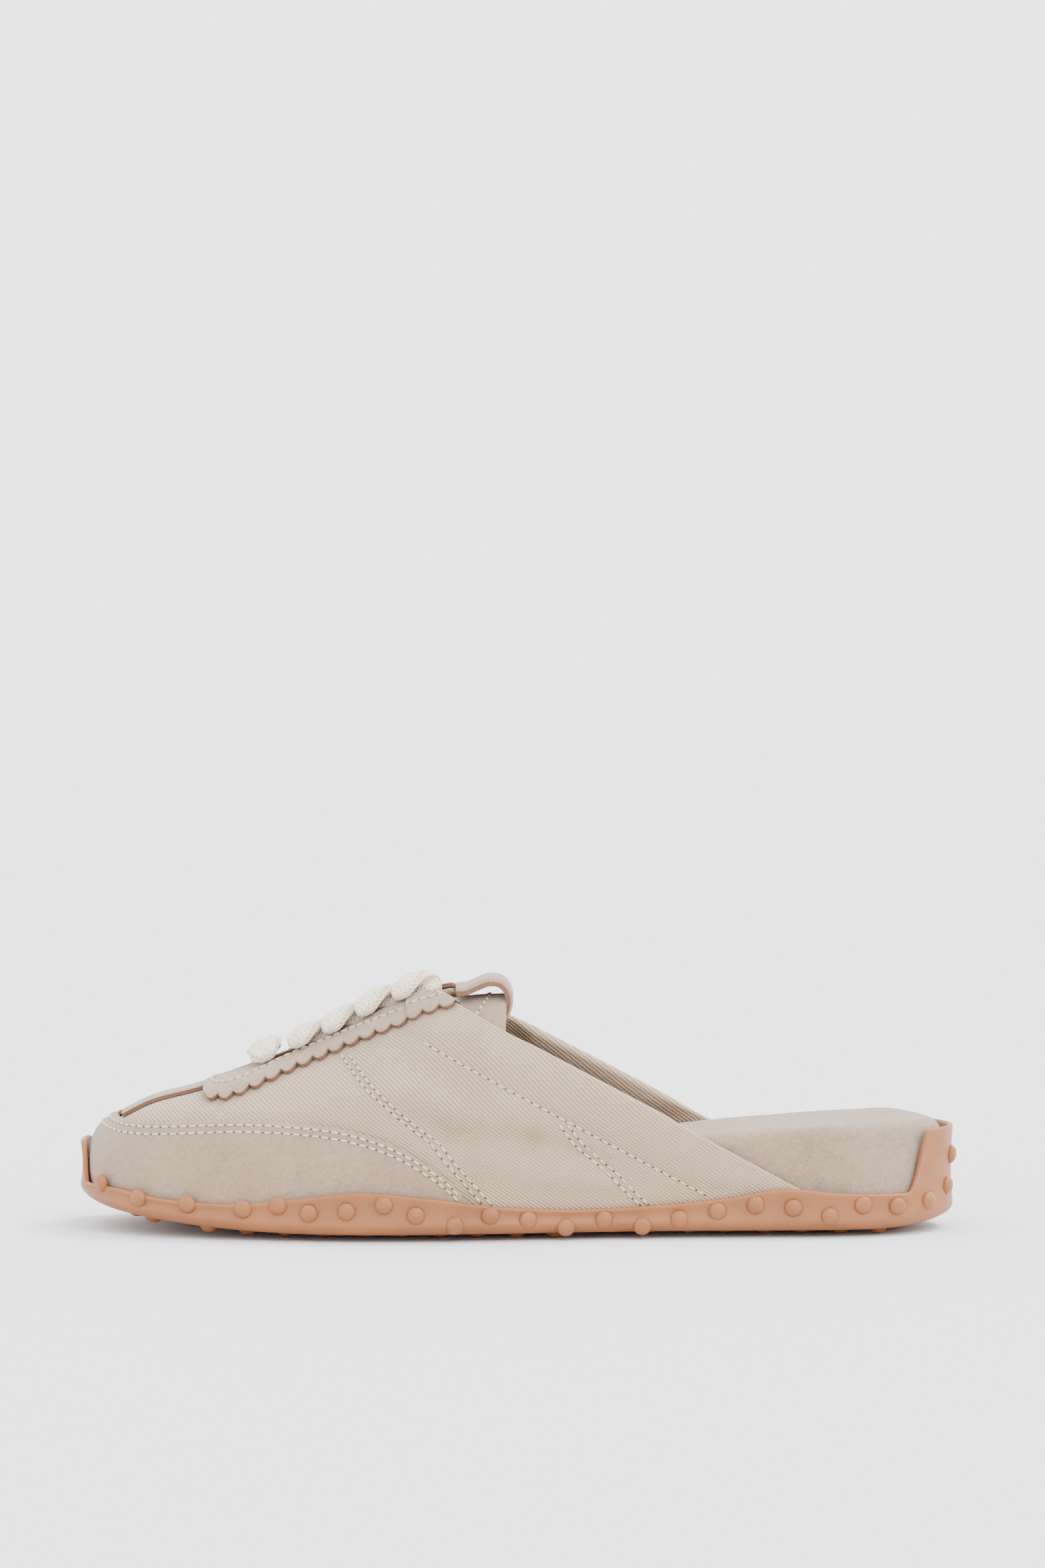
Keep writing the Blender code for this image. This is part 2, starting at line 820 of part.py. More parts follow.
def make_laces():
    """A straight bar at the front and a crossing above it for each further row of eyelets."""
    on_top = SKIN_GAP + STAY_WALL + SKIN_GAP + LACE_THICK / 2
    tucked = LACE_THICK / 2 - 0.0008
    outer = EYELET_SPREAD / 2
    inner = THROAT_WIDTH / 2 - LACE_WIDTH * 0.35
    bm = bmesh.new()
    bar = EYELET_FRONT
    lace_run(bm, (bar, -outer), (bar, outer), on_top, on_top, LACE_ARCH / 2)
    finish_object("lace_bar", bm, "lace")
    for row in range(1, EYELET_ROWS):
        low = EYELET_FRONT + EYELET_STEP * row
        high = EYELET_FRONT + EYELET_STEP * (row + 0.85)
        halves = []
        for side in (-1, 1):
            bm = bmesh.new()
            lace_run(bm, (low, side * outer), (high, -side * inner), on_top, tucked, LACE_ARCH)
            halves.append(bm)
        other = finish_object(f"lace_cutter_{row}", halves[1], "lace")
        other.hide_render = True
        other.display_type = "WIRE"
        cross = finish_object(f"lace_cross_{row}", halves[0], "lace")
        union = cross.modifiers.new("other half", "BOOLEAN")
        union.operation = "UNION"
        union.solver = "EXACT"
        union.object = other


def main():
    for item in list(bpy.data.objects):
        bpy.data.objects.remove(item, do_unlink=True)
    make_outsole()
    make_footbed()
    make_upper()
    make_toe_guard()
    make_toe_strip()
    make_eyestay()
    make_tongue()
    make_pull_loop()
    make_laces()


main()
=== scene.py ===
"""Looks of a backless suede-and-twill sneaker mule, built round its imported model.

Every surface follows the last of the solids: a plan outline, a ridge line and the squareness
of the sections between them.  Over toe and instep the ridge lies up to 4 mm lower than theirs.
Stations are shares of the length from the toe.
Sizes are in metres.
"""
import bisect
import functools
import math

import bmesh
import bpy
from mathutils import Matrix, Vector


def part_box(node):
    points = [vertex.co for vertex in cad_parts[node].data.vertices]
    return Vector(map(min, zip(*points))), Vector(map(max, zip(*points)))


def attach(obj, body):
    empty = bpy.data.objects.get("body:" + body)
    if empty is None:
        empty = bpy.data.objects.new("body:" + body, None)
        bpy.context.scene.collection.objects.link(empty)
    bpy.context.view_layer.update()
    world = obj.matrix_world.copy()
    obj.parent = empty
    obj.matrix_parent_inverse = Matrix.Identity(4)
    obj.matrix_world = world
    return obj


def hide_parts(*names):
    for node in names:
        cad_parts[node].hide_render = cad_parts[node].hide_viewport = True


bl_info = {
    "name": "Sneaker Mule",
    "version": (1, 0, 0),
    "blender": (4, 5, 0),
    "location": "View3D > Sidebar > Mule",
    "description": "Dresses the model of a backless sneaker with suede, twill, rubber and laces",
    "category": "Add Mesh",
}

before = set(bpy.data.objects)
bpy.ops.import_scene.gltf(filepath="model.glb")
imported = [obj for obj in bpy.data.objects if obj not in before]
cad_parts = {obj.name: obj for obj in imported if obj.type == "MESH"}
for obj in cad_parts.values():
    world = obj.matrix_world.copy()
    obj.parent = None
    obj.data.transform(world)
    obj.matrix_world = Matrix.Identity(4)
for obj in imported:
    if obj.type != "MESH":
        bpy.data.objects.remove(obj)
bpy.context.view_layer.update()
SOLE_LOW, SOLE_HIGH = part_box("outsole")

LENGTH = SOLE_HIGH.x - SOLE_LOW.x
BALL_WIDTH = 0.090
RIDGE_HEIGHT = 0.0735
RIM_HEIGHT = 0.0147
SPRING_HEIGHT = 0.0075
BED_HEIGHT = 0.0340
STUD_DROP = 0.0020
SOLE_BASE = 0.0040
BUMPER_HEIGHT = 0.0262
BUMPER_WIDTH = 0.0220
TAB_HEIGHT = 0.0310
TAB_WIDTH = 0.0440
TAB_SLOPE = 0.0060
SKIN_GAP = 0.0006
GUARD_WALL = 0.0014
RIM_WALL = 0.0016
THROAT_WIDTH = 0.0170
STUD_PITCH = 0.0113
STUD_MARGIN = 0.0075

TOE_FAN_FRONT = 0.105
TOE_FAN_BACK = 0.200
THROAT_FRONT = 0.204
STAY_FRONT = 0.146
STAY_END = 0.409
COLLAR_TOP = 0.438
COLLAR_FOOT = 0.811
UPPER_END = 0.842
GUARD_END = 0.452
STAY_END_HEIGHT = 0.0715
COLLAR_TOP_HEIGHT = 0.0675
COLLAR_FOOT_HEIGHT = 0.0145
COLLAR_BAND = 0.0158
FAR_COLLAR_RISE = 0.0022
BAND_SWELL = 0.0009
BAND_GROOVE = 0.0005
GROOVE_WIDTH = 0.0011
SEAM_GROOVE = 0.00028
SEAM_GROOVE_WIDTH = 0.0012
FOLDS_FROM = 0.22
# Near-black for the needle holes: painted shade, as no hole is cut
HOLE_SHADE_COLOUR = (0.05, 0.035, 0.025)
EYELET_FRONT = 0.217
EYELET_STEP = 0.0393
EYELET_ROWS = 5

# Plan outline: station, outer side and inner side as shares of the ball width
OUTLINE = (
    (0.000, 0.050, 0.050),
    (0.012, -0.125, 0.215),
    (0.040, -0.245, 0.330),
    (0.090, -0.345, 0.412),
    (0.150, -0.412, 0.462),
    (0.220, -0.458, 0.490),
    (0.300, -0.490, 0.490),
    (0.370, -0.496, 0.455),
    (0.460, -0.468, 0.382),
    (0.560, -0.420, 0.325),
    (0.660, -0.385, 0.316),
    (0.760, -0.370, 0.332),
    (0.860, -0.352, 0.336),
    (0.930, -0.298, 0.296),
    (0.975, -0.190, 0.192),
    (1.000, 0.000, 0.000),
)

# Last, lower than the solids' ahead of the collar: station, ridge height as a share of
# RIDGE_HEIGHT, squareness of the section
RIDGE = (
    (0.000, 0.440, 4.00),
    (0.050, 0.460, 3.70),
    (0.085, 0.508, 3.30),
    (0.140, 0.562, 2.75),
    (0.175, 0.606, 2.50),
    (0.245, 0.704, 2.20),
    (0.310, 0.815, 2.10),
    (0.355, 0.900, 2.15),
    (0.400, 0.962, 2.25),
    (0.440, 0.990, 2.35),
    (0.500, 1.003, 2.40),
    (0.850, 1.000, 2.40),
)

# Wavy rubber edge: station, height as a share of RIM_HEIGHT
RIM = (
    (0.000, 0.98),
    (0.040, 0.96),
    (0.100, 0.81),
    (0.200, 0.76),
    (0.260, 0.88),
    (0.325, 1.00),
    (0.400, 0.89),
    (0.480, 0.71),
    (0.570, 0.63),
    (0.650, 0.68),
    (0.740, 0.83),
    (0.805, 0.99),
    (0.860, 0.90),
    (0.930, 0.86),
    (1.000, 0.86),
)

# Underside: station, rise as a share of SPRING_HEIGHT
SPRING = (
    (0.000, 1.00),
    (0.020, 0.82),
    (0.060, 0.57),
    (0.110, 0.36),
    (0.170, 0.17),
    (0.240, 0.04),
    (0.300, 0.00),
    (0.340, 0.00),
    (0.860, 0.00),
    (0.900, 0.00),
    (0.960, 0.10),
    (1.000, 0.30),
)

# Footbed top: station, height as a share of BED_HEIGHT
BED = (
    (0.000, 0.56),
    (0.060, 0.51),
    (0.150, 0.42),
    (0.280, 0.37),
    (0.400, 0.44),
    (0.520, 0.62),
    (0.620, 0.78),
    (0.710, 0.88),
    (0.800, 0.935),
    (0.900, 0.975),
    (0.950, 0.995),
    (1.000, 0.965),
)

# Guard edge: station, height as a share of RIDGE_HEIGHT
GUARD_EDGE = (
    (0.000, 0.455),
    (0.030, 0.450),
    (0.050, 0.440),
    (0.080, 0.438),
    (0.110, 0.442),
    (0.200, 0.458),
    (0.280, 0.448),
    (0.320, 0.428),
    (0.350, 0.398),
    (0.375, 0.360),
    (0.400, 0.308),
    (0.425, 0.240),
    (0.452, 0.130),
)

# Eyestay lower edge: station, height as a share of RIDGE_HEIGHT
STAY_EDGE = (
    (0.145, 0.555),
    (0.155, 0.548),
    (0.175, 0.553),
    (0.190, 0.572),
    (0.210, 0.602),
    (0.240, 0.652),
    (0.275, 0.706),
    (0.310, 0.760),
    (0.345, 0.812),
    (0.380, 0.862),
    (0.415, 0.906),
    (0.440, 0.936),
)

# Studs on the wall: station and height, placed from the photograph but for the first, a guess
WALL_STUDS = (
    (0.030, 0.0150), (0.075, 0.0115), (0.132, 0.0105), (0.1954, 0.0095), (0.235, 0.0107),
    (0.2695, 0.0086), (0.3116, 0.0092), (0.3531, 0.0111), (0.3886, 0.0080), (0.4322, 0.0050),
    (0.4715, 0.0077), (0.5139, 0.0063), (0.5559, 0.0040), (0.5986, 0.0060), (0.6413, 0.0040),
    (0.6826, 0.0059), (0.7255, 0.0082), (0.7682, 0.0099), (0.8107, 0.0090), (0.8518, 0.0064),
    (0.8898, 0.0096), (0.9295, 0.0089), (0.9669, 0.0097), (0.9915, 0.0132), (0.9975, 0.0220),
)

# Pull loop, along its middle: station, height as a share of RIDGE_HEIGHT
LOOP_ROUTE = (
    (0.432, 0.984),
    (0.444, 0.988),
    (0.456, 1.006),
    (0.468, 1.022),
    (0.480, 1.020),
    (0.488, 0.998),
    (0.492, 0.964),
    (0.492, 0.930),
    (0.488, 0.890),
    (0.480, 0.864),
    (0.468, 0.856),
)

# Front seam of the quarter, then the rear one: station and height as a share of RIDGE_HEIGHT
FRONT_SEAM = ((0.306, 0.725), (0.336, 0.598), (0.358, 0.530), (0.390, 0.443),
              (0.412, 0.384), (0.426, 0.320), (0.446, 0.240), (0.468, 0.150))
REAR_SEAM = ((0.553, 0.466), (0.568, 0.394), (0.588, 0.328), (0.609, 0.262),
             (0.628, 0.190), (0.646, 0.130))

# Soft folds of the quarter: start station and height share, end ones, half width, rise
FOLDS = (
    (0.370, 0.505, 0.427, 0.422, 0.0034, -0.0014),
    (0.427, 0.422, 0.518, 0.395, 0.0036, -0.0021),
    (0.518, 0.395, 0.600, 0.300, 0.0034, -0.0016),
    (0.290, 0.545, 0.420, 0.535, 0.0065, 0.0009),
    (0.420, 0.535, 0.500, 0.500, 0.0060, 0.0010),
    (0.470, 0.320, 0.600, 0.190, 0.0055, 0.0010),
    (0.385, 0.700, 0.460, 0.560, 0.0045, -0.0009),
    (0.360, 0.350, 0.410, 0.260, 0.0050, 0.0006),
    (0.250, 0.500, 0.290, 0.640, 0.0050, -0.0006),
)

# The photograph's view: a long lens a little above the floor
VIEW_DISTANCE = 1.400
VIEW_HEIGHT = 0.1695
VIEW_PITCH = math.radians(1.5)
VIEW_SHIFT = 0.0019
FOCAL_PIXELS = 7000
FRAME_PIXELS = 1568
SENSOR = 36.0


def table_reader(rows, column, key=None):
    """Smooth function through one column of a table."""
    xs = [key(row[0]) if key else row[0] for row in rows]
    ys = [row[column] for row in rows]
    slopes = []
    for i in range(len(xs)):
        if i in (0, len(xs) - 1):
            j = max(i - 1, 0)
            slopes.append((ys[j + 1] - ys[j]) / (xs[j + 1] - xs[j]))
            continue
        back = xs[i] - xs[i - 1]
        ahead = xs[i + 1] - xs[i]
        rise = back * back * (ys[i + 1] - ys[i]) + ahead * ahead * (ys[i] - ys[i - 1])
        slopes.append(rise / (back * ahead * (back + ahead)))

    def read(x):
        x = min(max(x, xs[0]), xs[-1])
        i = min(max(bisect.bisect_left(xs, x) - 1, 0), len(xs) - 2)
        span = xs[i + 1] - xs[i]
        k = (x - xs[i]) / span
        value = ys[i] * (1 + 2 * k) * (1 - k) ** 2 + ys[i + 1] * k * k * (3 - 2 * k)
        return value + (slopes[i] * k * (1 - k) ** 2 - slopes[i + 1] * k * k * (1 - k)) * span

    return read


def turn_of(station):
    return math.acos(1 - 2 * min(max(station, 0.0), 1.0))


def station_of(turn):
    return (1 - math.cos(turn)) / 2


SIDES = {-1: table_reader(OUTLINE, 1, turn_of), 1: table_reader(OUTLINE, 2, turn_of)}
RIDGE_LINE = table_reader(RIDGE, 1)
SQUARENESS = table_reader(RIDGE, 2)
RIM_LINE = table_reader(RIM, 1)
SPRING_LINE = table_reader(SPRING, 1)
BED_LINE = table_reader(BED, 1)
GUARD_LINE = table_reader(GUARD_EDGE, 1)
STAY_LINE = table_reader(STAY_EDGE, 1)
LOOP_X = table_reader([(i, row[0]) for i, row in enumerate(LOOP_ROUTE)], 1)
LOOP_Z = table_reader([(i, row[1]) for i, row in enumerate(LOOP_ROUTE)], 1)


def ease(value):
    k = min(max(value, 0.0), 1.0)
    return k * k * (3 - 2 * k)


def x_at(station):
    return (station - 0.5) * LENGTH


def share_of(x):
    return x / LENGTH + 0.5


@functools.lru_cache(maxsize=None)
def outline_side(station, side):
    return SIDES[side](turn_of(station)) * BALL_WIDTH


@functools.lru_cache(maxsize=None)
def outline_frame(station, side):
    """Point of the plan outline and the direction inwards from it."""
    step = 0.02
    turn = turn_of(station)
    ends = []
    for angle in (turn - step, turn + step):
        where = station_of(angle)
        flip = 1 if 0 < angle < math.pi else -1
        ends.append(Vector((x_at(where), outline_side(where, side * flip))))
    along = (ends[1] - ends[0]).normalized()
    return Vector((x_at(station), outline_side(station, side))), Vector((along.y, -along.x)) * side


def outline_point(station, side, inset):
    place, inward = outline_frame(station, side)
    return place + inward * inset


@functools.lru_cache(maxsize=None)
def underside(station):
    return STUD_DROP + max(SPRING_LINE(station), 0.0) * SPRING_HEIGHT


@functools.lru_cache(maxsize=None)
def rim_height(station, side):
    """Top of the rubber wall, with the toe bumper and the heel tab."""
    height = RIM_LINE(station) * RIM_HEIGHT
    toe_off = abs(outline_side(station, side) - outline_side(0.0, side))
    heel_off = abs(outline_side(station, side) - outline_side(1.0, side))
    if station < 0.5:
        toe = ease((BUMPER_WIDTH / 2 - toe_off) / TAB_SLOPE + 0.5)
        return height + (BUMPER_HEIGHT - height) * toe
    heel = ease((TAB_WIDTH / 2 - heel_off) / TAB_SLOPE + 0.5)
    return height + (TAB_HEIGHT - height) * heel


def bed_top(station):
    return BED_LINE(station) * BED_HEIGHT


@functools.lru_cache(maxsize=None)
def skin_inset(station):
    covered = 1 - ease((station - GUARD_END + 0.01) / 0.03)
    return RIM_WALL + SKIN_GAP + covered * (GUARD_WALL + SKIN_GAP)


def spine_station(station):
    if station >= TOE_FAN_BACK:
        return station
    fan = TOE_FAN_BACK - TOE_FAN_FRONT
    return TOE_FAN_FRONT + fan * (station / TOE_FAN_BACK) ** (TOE_FAN_BACK / fan)


def fan_station(top):
    fan = TOE_FAN_BACK - TOE_FAN_FRONT
    return TOE_FAN_BACK * ((top - TOE_FAN_FRONT) / fan) ** (fan / TOE_FAN_BACK)


@functools.lru_cache(maxsize=None)
def spine_side(station):
    return (outline_side(station, -1) + outline_side(station, 1)) / 2


def ridge_height(station):
    return RIDGE_LINE(station) * RIDGE_HEIGHT


@functools.lru_cache(maxsize=None)
def section(station, side):
    """Foot of a section, its top on the ridge, its roundness and the height of its foot."""
    foot = outline_point(station, side, skin_inset(station))
    top = spine_station(station)
    power = 2 / SQUARENESS(station)
    return foot, Vector((x_at(top), spine_side(top))), power, underside(station) + SOLE_BASE


@functools.lru_cache(maxsize=None)
def skin(station, side, climb):
    """Outer face of the upper: climb 0 is the foot of the wall, 1 the ridge."""
    foot, top, power, base = section(station, side)
    angle = climb * math.pi / 2
    place = foot + (top - foot) * (1 - max(math.cos(angle), 0.0) ** power)
    rise = max(math.sin(angle), 0.0) ** power
    return Vector((place.x, place.y, base + (ridge_height(share_of(place.x)) - base) * rise))


@functools.lru_cache(maxsize=None)
def skin_normal(station, side, climb):
    if climb > 0.985:
        top = spine_station(station)
        rise = ridge_height(top + 0.01) - ridge_height(top - 0.01)
        return Vector((-rise, 0, 0.02 * LENGTH)).normalized()
    step = 0.012
    low = min(max(climb - step, 0.02), 0.96)
    high = min(low + 2 * step, 0.985)
    middle = (low + high) / 2
    up = skin(station, side, high) - skin(station, side, low)
    if station < 0.004:
        along = (skin(0.006, 1, middle) - skin(0.006, -1, middle)) * side
    else:
        along = skin(min(station + 0.006, 0.995), side, middle) - skin(station - 0.004, side, middle)
    normal = along.cross(up).normalized() * -side
    return -normal if normal.z < -0.2 else normal


def distance_to_line(point, start, end):
    """Distance, seen from the side, to a line between two stations and height shares."""
    ax, az = x_at(start[0]), start[1] * RIDGE_HEIGHT
    dx, dz = x_at(end[0]) - ax, end[1] * RIDGE_HEIGHT - az
    x, z = point.x - ax, point.z - az
    k = min(max((x * dx + z * dz) / (dx * dx + dz * dz), 0.0), 1.0)
    return math.hypot(x - dx * k, z - dz * k)


def collar_slope(station):
    """Height of the collar's long straight edge, carried on both ways."""
    run = (station - COLLAR_TOP) / (COLLAR_FOOT - COLLAR_TOP)
    return COLLAR_TOP_HEIGHT + run * (COLLAR_FOOT_HEIGHT - COLLAR_TOP_HEIGHT)


def collar_line(station):
    if station < COLLAR_TOP:
        run = (station - STAY_END) / (COLLAR_TOP - STAY_END)
        return STAY_END_HEIGHT + run * (COLLAR_TOP_HEIGHT - STAY_END_HEIGHT)
    return collar_slope(station)


def fold_rise(point):
    """Soft folds, the padded collar band and the grooves under the seams."""
    rise = 0.0
    for s0, h0, s1, h1, width, height in FOLDS:
        away = distance_to_line(point, (s0, h0), (s1, h1))
        if away < width * 3:
            rise += height * math.exp(-((away / width) ** 2))
    depth = collar_slope(share_of(point.x)) - point.z
    if share_of(point.x) > STAY_END - 0.03:
        if 0 < depth < COLLAR_BAND:
            rise += BAND_SWELL * math.sin(math.pi * depth / COLLAR_BAND)
        rise -= BAND_GROOVE * math.exp(-(((depth - COLLAR_BAND) / GROOVE_WIDTH) ** 2))
    for seam in (FRONT_SEAM, REAR_SEAM):
        for start, end in zip(seam, seam[1:]):
            away = distance_to_line(point, start, end)
            if away < 0.004:
                rise -= SEAM_GROOVE * math.exp(-((away / SEAM_GROOVE_WIDTH) ** 2))
                break
    return rise * ease((point.z - 0.012) / 0.006)


def lifted(station, side, climb, lift):
    """Place on the upper, folds and all, lifted off it by a distance."""
    climb = min(max(climb, 0.0), 1.0)
    point = skin(station, side, climb)
    rise = fold_rise(point) if station > FOLDS_FROM else 0.0
    return point + skin_normal(station, side, climb) * (lift + rise)


def throat_half(station):
    back = THROAT_WIDTH / 2
    depth = (station - THROAT_FRONT) * LENGTH
    if depth <= 0:
        return 0.0
    if depth >= back:
        return back
    return math.sqrt(back * back - (back - depth) ** 2)


def in_upper(point):
    station = share_of(point.x)
    across = point.y - spine_side(round(station, 5))
    if abs(across) < throat_half(station):
        return False
    rise = FAR_COLLAR_RISE if across > 0 else 0.0
    return station < STAY_END or point.z < collar_line(station) + rise


def climb_until(station, side, keeps):
    if keeps(skin(station, side, 1.0)):
        return 1.0
    low = 0.0
    high = 1.0
    for _ in range(22):
        middle = (low + high) / 2
        if keeps(skin(station, side, middle)):
            low = middle
        else:
            high = middle
    return low


@functools.lru_cache(maxsize=None)
def opening_climb(station, side):
    return climb_until(station, side, in_upper)


@functools.lru_cache(maxsize=None)
def height_climb(station, side, height):
    return climb_until(station, side, lambda p: p.z < height)


@functools.lru_cache(maxsize=None)
def guard_climb(station, side, drop):
    return climb_until(
        station, side, lambda p: p.z < GUARD_LINE(share_of(p.x)) * RIDGE_HEIGHT - drop)


SCALLOP_PITCH = 0.0047
SCALLOP_DEPTH = 0.0013


def scallop(station):
    phase = (station - STAY_FRONT) * LENGTH / SCALLOP_PITCH
    return SCALLOP_DEPTH * abs(math.sin(math.pi * phase)) ** 0.8


@functools.lru_cache(maxsize=None)
def stay_climb(station, side, inside, pinked=True):
    """Climb at the eyestay's edge, or at a line inside it."""
    def below(point):
        where = share_of(point.x)
        edge = STAY_LINE(where) * RIDGE_HEIGHT - (scallop(where) if pinked else 0.0) + inside
        return where < STAY_FRONT + inside / LENGTH or point.z < edge

    return climb_until(station, side, below)


@functools.lru_cache(maxsize=None)
def arch_parts(station):
    half = {side: abs(outline_side(station, side) - spine_side(station)) - skin_inset(station)
            for side in (-1, 1)}
    base = underside(station) + SOLE_BASE
    return half, SQUARENESS(station), base, ridge_height(station), spine_side(station)


def arch(station, across):
    """Point of the upper's outer face over the ridge, from a plan place."""
    half, power, base, top, middle = arch_parts(station)
    share = min(abs(across) / half[-1 if across < 0 else 1], 0.999)
    return Vector((x_at(station), middle + across,
                   base + (top - base) * (1 - share ** power) ** (1 / power)))


def arch_lifted(station, across, lift):
    step = 0.0008
    along = arch(station + step / LENGTH, across) - arch(station - step / LENGTH, across)
    over = arch(station, across + step) - arch(station, across - step)
    return arch(station, across) + along.cross(over).normalized() * lift


def round_the_toe(first, last):
    """Function from a share of the way to a station and a side, outer side first."""
    low = turn_of(first)
    high = turn_of(last)

    def place(u):
        side = -1 if u < 0.5 else 1
        return station_of(low + (high - low) * abs(2 * u - 1)), side

    return place


# Meshes

def mapped_grid(bm, columns, rows, place, uv=None, material=0):
    """Grid made by the grid operator and laid over a surface."""
    layer = bm.loops.layers.uv.verify()
    made = bmesh.ops.create_grid(bm, x_segments=columns, y_segments=rows, size=0.5)
    flat = {}
    for vert in made["verts"]:
        u = round(min(max(vert.co.x + 0.5, 0.0), 1.0), 6)
        v = round(min(max(vert.co.y + 0.5, 0.0), 1.0), 6)
        flat[vert] = (u, v)
        vert.co = place(u, v)
    faces = {face for vert in made["verts"] for face in vert.link_faces}
    for face in faces:
        face.material_index = material
        for loop in face.loops:
            u, v = flat[loop.vert]
            loop[layer].uv = uv(u, v, loop.vert.co) if uv else (loop.vert.co.x, loop.vert.co.z)


def side_uv(_u, _v, point):
    """Plan of a pattern on a shoe's side: distance along it and height, both real."""
    return point.x, point.z - abs(point.y) * 0.3 * ease((point.z - 0.03) / 0.04)


def finish_piece(name, bm, materials, node, weld=0.00002, recalc=True):
    """Welds a mesh, turns its faces outward and links it into the scene as one piece."""
    bmesh.ops.remove_doubles(bm, verts=bm.verts, dist=weld)
    bmesh.ops.dissolve_degenerate(bm, edges=bm.edges, dist=0.000001)
    if recalc:
        bmesh.ops.recalc_face_normals(bm, faces=bm.faces)
    mesh = bpy.data.meshes.new(name)
    bm.to_mesh(mesh)
    bm.free()
    for material in materials:
        mesh.materials.append(material)
    mesh.shade_smooth()
    mesh.set_sharp_from_angle(angle=math.radians(50))
    piece = bpy.data.objects.new(name, mesh)
    bpy.context.collection.objects.link(piece)
    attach(piece, "root")
    if node:
        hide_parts(node)


def slab(bm, columns, rows, face, wall, edge=0.0004):
    """Closed panel: face(u, v, lift) gives its place, wall its thickness.

    The two long edges are rounded a little, and take the raw-edge material.
    """
    def top(u, v):
        reach = min(v, 1 - v) * rows
        drop = edge * (1 - math.sqrt(max(1 - (1 - min(reach, 1.0)) ** 2, 0.0)))
        return face(u, v, wall - drop)

    def bottom(u, v):
        return face(u, v, 0.0)

    mapped_grid(bm, columns, rows, top)
    mapped_grid(bm, columns, 1, lambda u, v: face(u, 0.0, (wall - edge) * v), material=1)
    mapped_grid(bm, columns, 1, lambda u, v: face(u, 1.0, (wall - edge) * v), material=1)
    mapped_grid(bm, columns, rows, bottom)
    for end in (0.0, 1.0):
        mapped_grid(bm, 1, rows, lambda u, v, end=end: top(end, v) if u else bottom(end, v),
                    material=1)


# Materials

def new_material(name):
    material = bpy.data.materials.new(name)
    material.use_nodes = True
    tree = material.node_tree
    shader = tree.nodes["Principled BSDF"]
    return material, tree, shader


def add_node(tree, kind, **values):
    node = tree.nodes.new(kind)
    for key, value in values.items():
        if key.startswith("in_"):
            node.inputs[key[3:].replace("_", " ")].default_value = value
        else:
            setattr(node, key, value)
    return node


def noise(tree, source, scale, detail=3.0, roughness=0.6):
    node = add_node(tree, "ShaderNodeTexNoise", in_Scale=scale, in_Detail=detail, in_Roughness=roughness)
    tree.links.new(source, node.inputs["Vector"])
    return node.outputs["Fac"]


def ramp(tree, source, stops):
    node = tree.nodes.new("ShaderNodeValToRGB")
    node.color_ramp.elements[0].position = stops[0][0]
    node.color_ramp.elements[0].color = (*stops[0][1], 1)
    node.color_ramp.elements[1].position = stops[-1][0]
    node.color_ramp.elements[1].color = (*stops[-1][1], 1)
    for position, colour in stops[1:-1]:
        node.color_ramp.elements.new(position).color = (*colour, 1)
    tree.links.new(source, node.inputs["Fac"])
    return node.outputs["Color"]


def shade(colour, factor):
    return tuple(min(channel * factor, 1.0) for channel in colour)


def math_node(tree, operation, a, b):
    node = add_node(tree, "ShaderNodeMath", operation=operation)
    for socket, value in zip(node.inputs, (a, b)):
        if isinstance(value, (int, float)):
            socket.default_value = value
        else:
            tree.links.new(value, socket)
    return node.outputs[0]


def bump(tree, shader, height, distance, strength=1.0, below=None):
    node = add_node(tree, "ShaderNodeBump", in_Distance=distance, in_Strength=strength)
    tree.links.new(height, node.inputs["Height"])
    if below is not None:
        tree.links.new(below, node.inputs["Normal"])
    tree.links.new(node.outputs["Normal"], shader.inputs["Normal"])
    return node.outputs["Normal"]


def suede_material(name, colour, nap=1.0):
    """Napped leather: fine fibre grain, soft brushed patches and a sheen."""
    material, tree, shader = new_material(name)
    place = tree.nodes.new("ShaderNodeTexCoord").outputs["Object"]
    fine = noise(tree, place, 2600.0 / nap, 4.0, 0.7)
    middle = noise(tree, place, 620.0 / nap, 3.0, 0.6)
    patches = noise(tree, place, 62.0, 3.0, 0.55)
    mix = math_node(tree, "MULTIPLY", fine, 0.52)
    mix = math_node(tree, "ADD", mix, math_node(tree, "MULTIPLY", middle, 0.28))
    mix = math_node(tree, "ADD", mix, math_node(tree, "MULTIPLY", patches, 0.20))
    colours = ramp(tree, mix, (
        (0.36, shade(colour, 0.74)), (0.50, colour), (0.64, shade(colour, 1.24))))
    tree.links.new(colours, shader.inputs["Base Color"])
    shader.inputs["Roughness"].default_value = 0.96
    shader.inputs["Specular IOR Level"].default_value = 0.16
    shader.inputs["Sheen Weight"].default_value = 0.30
    shader.inputs["Sheen Roughness"].default_value = 0.45
    low = bump(tree, shader, middle, 0.00035 * nap, 0.7)
    bump(tree, shader, fine, 0.00030 * nap, 0.9, low)
    return material


def raw_edge_material(colour):
    """Cut edge of the hide: pinker, darker and fibrous."""
    material, tree, shader = new_material("raw_edge")
    place = tree.nodes.new("ShaderNodeTexCoord").outputs["Object"]
    fibres = noise(tree, place, 3000.0, 5.0, 0.75)
    colours = ramp(tree, fibres, ((0.35, shade(colour, 0.62)), (0.65, shade(colour, 1.30))))
    tree.links.new(colours, shader.inputs["Base Color"])
    shader.inputs["Roughness"].default_value = 1.0
    shader.inputs["Specular IOR Level"].default_value = 0.1
    bump(tree, shader, fibres, 0.0005, 1.0)
    return material


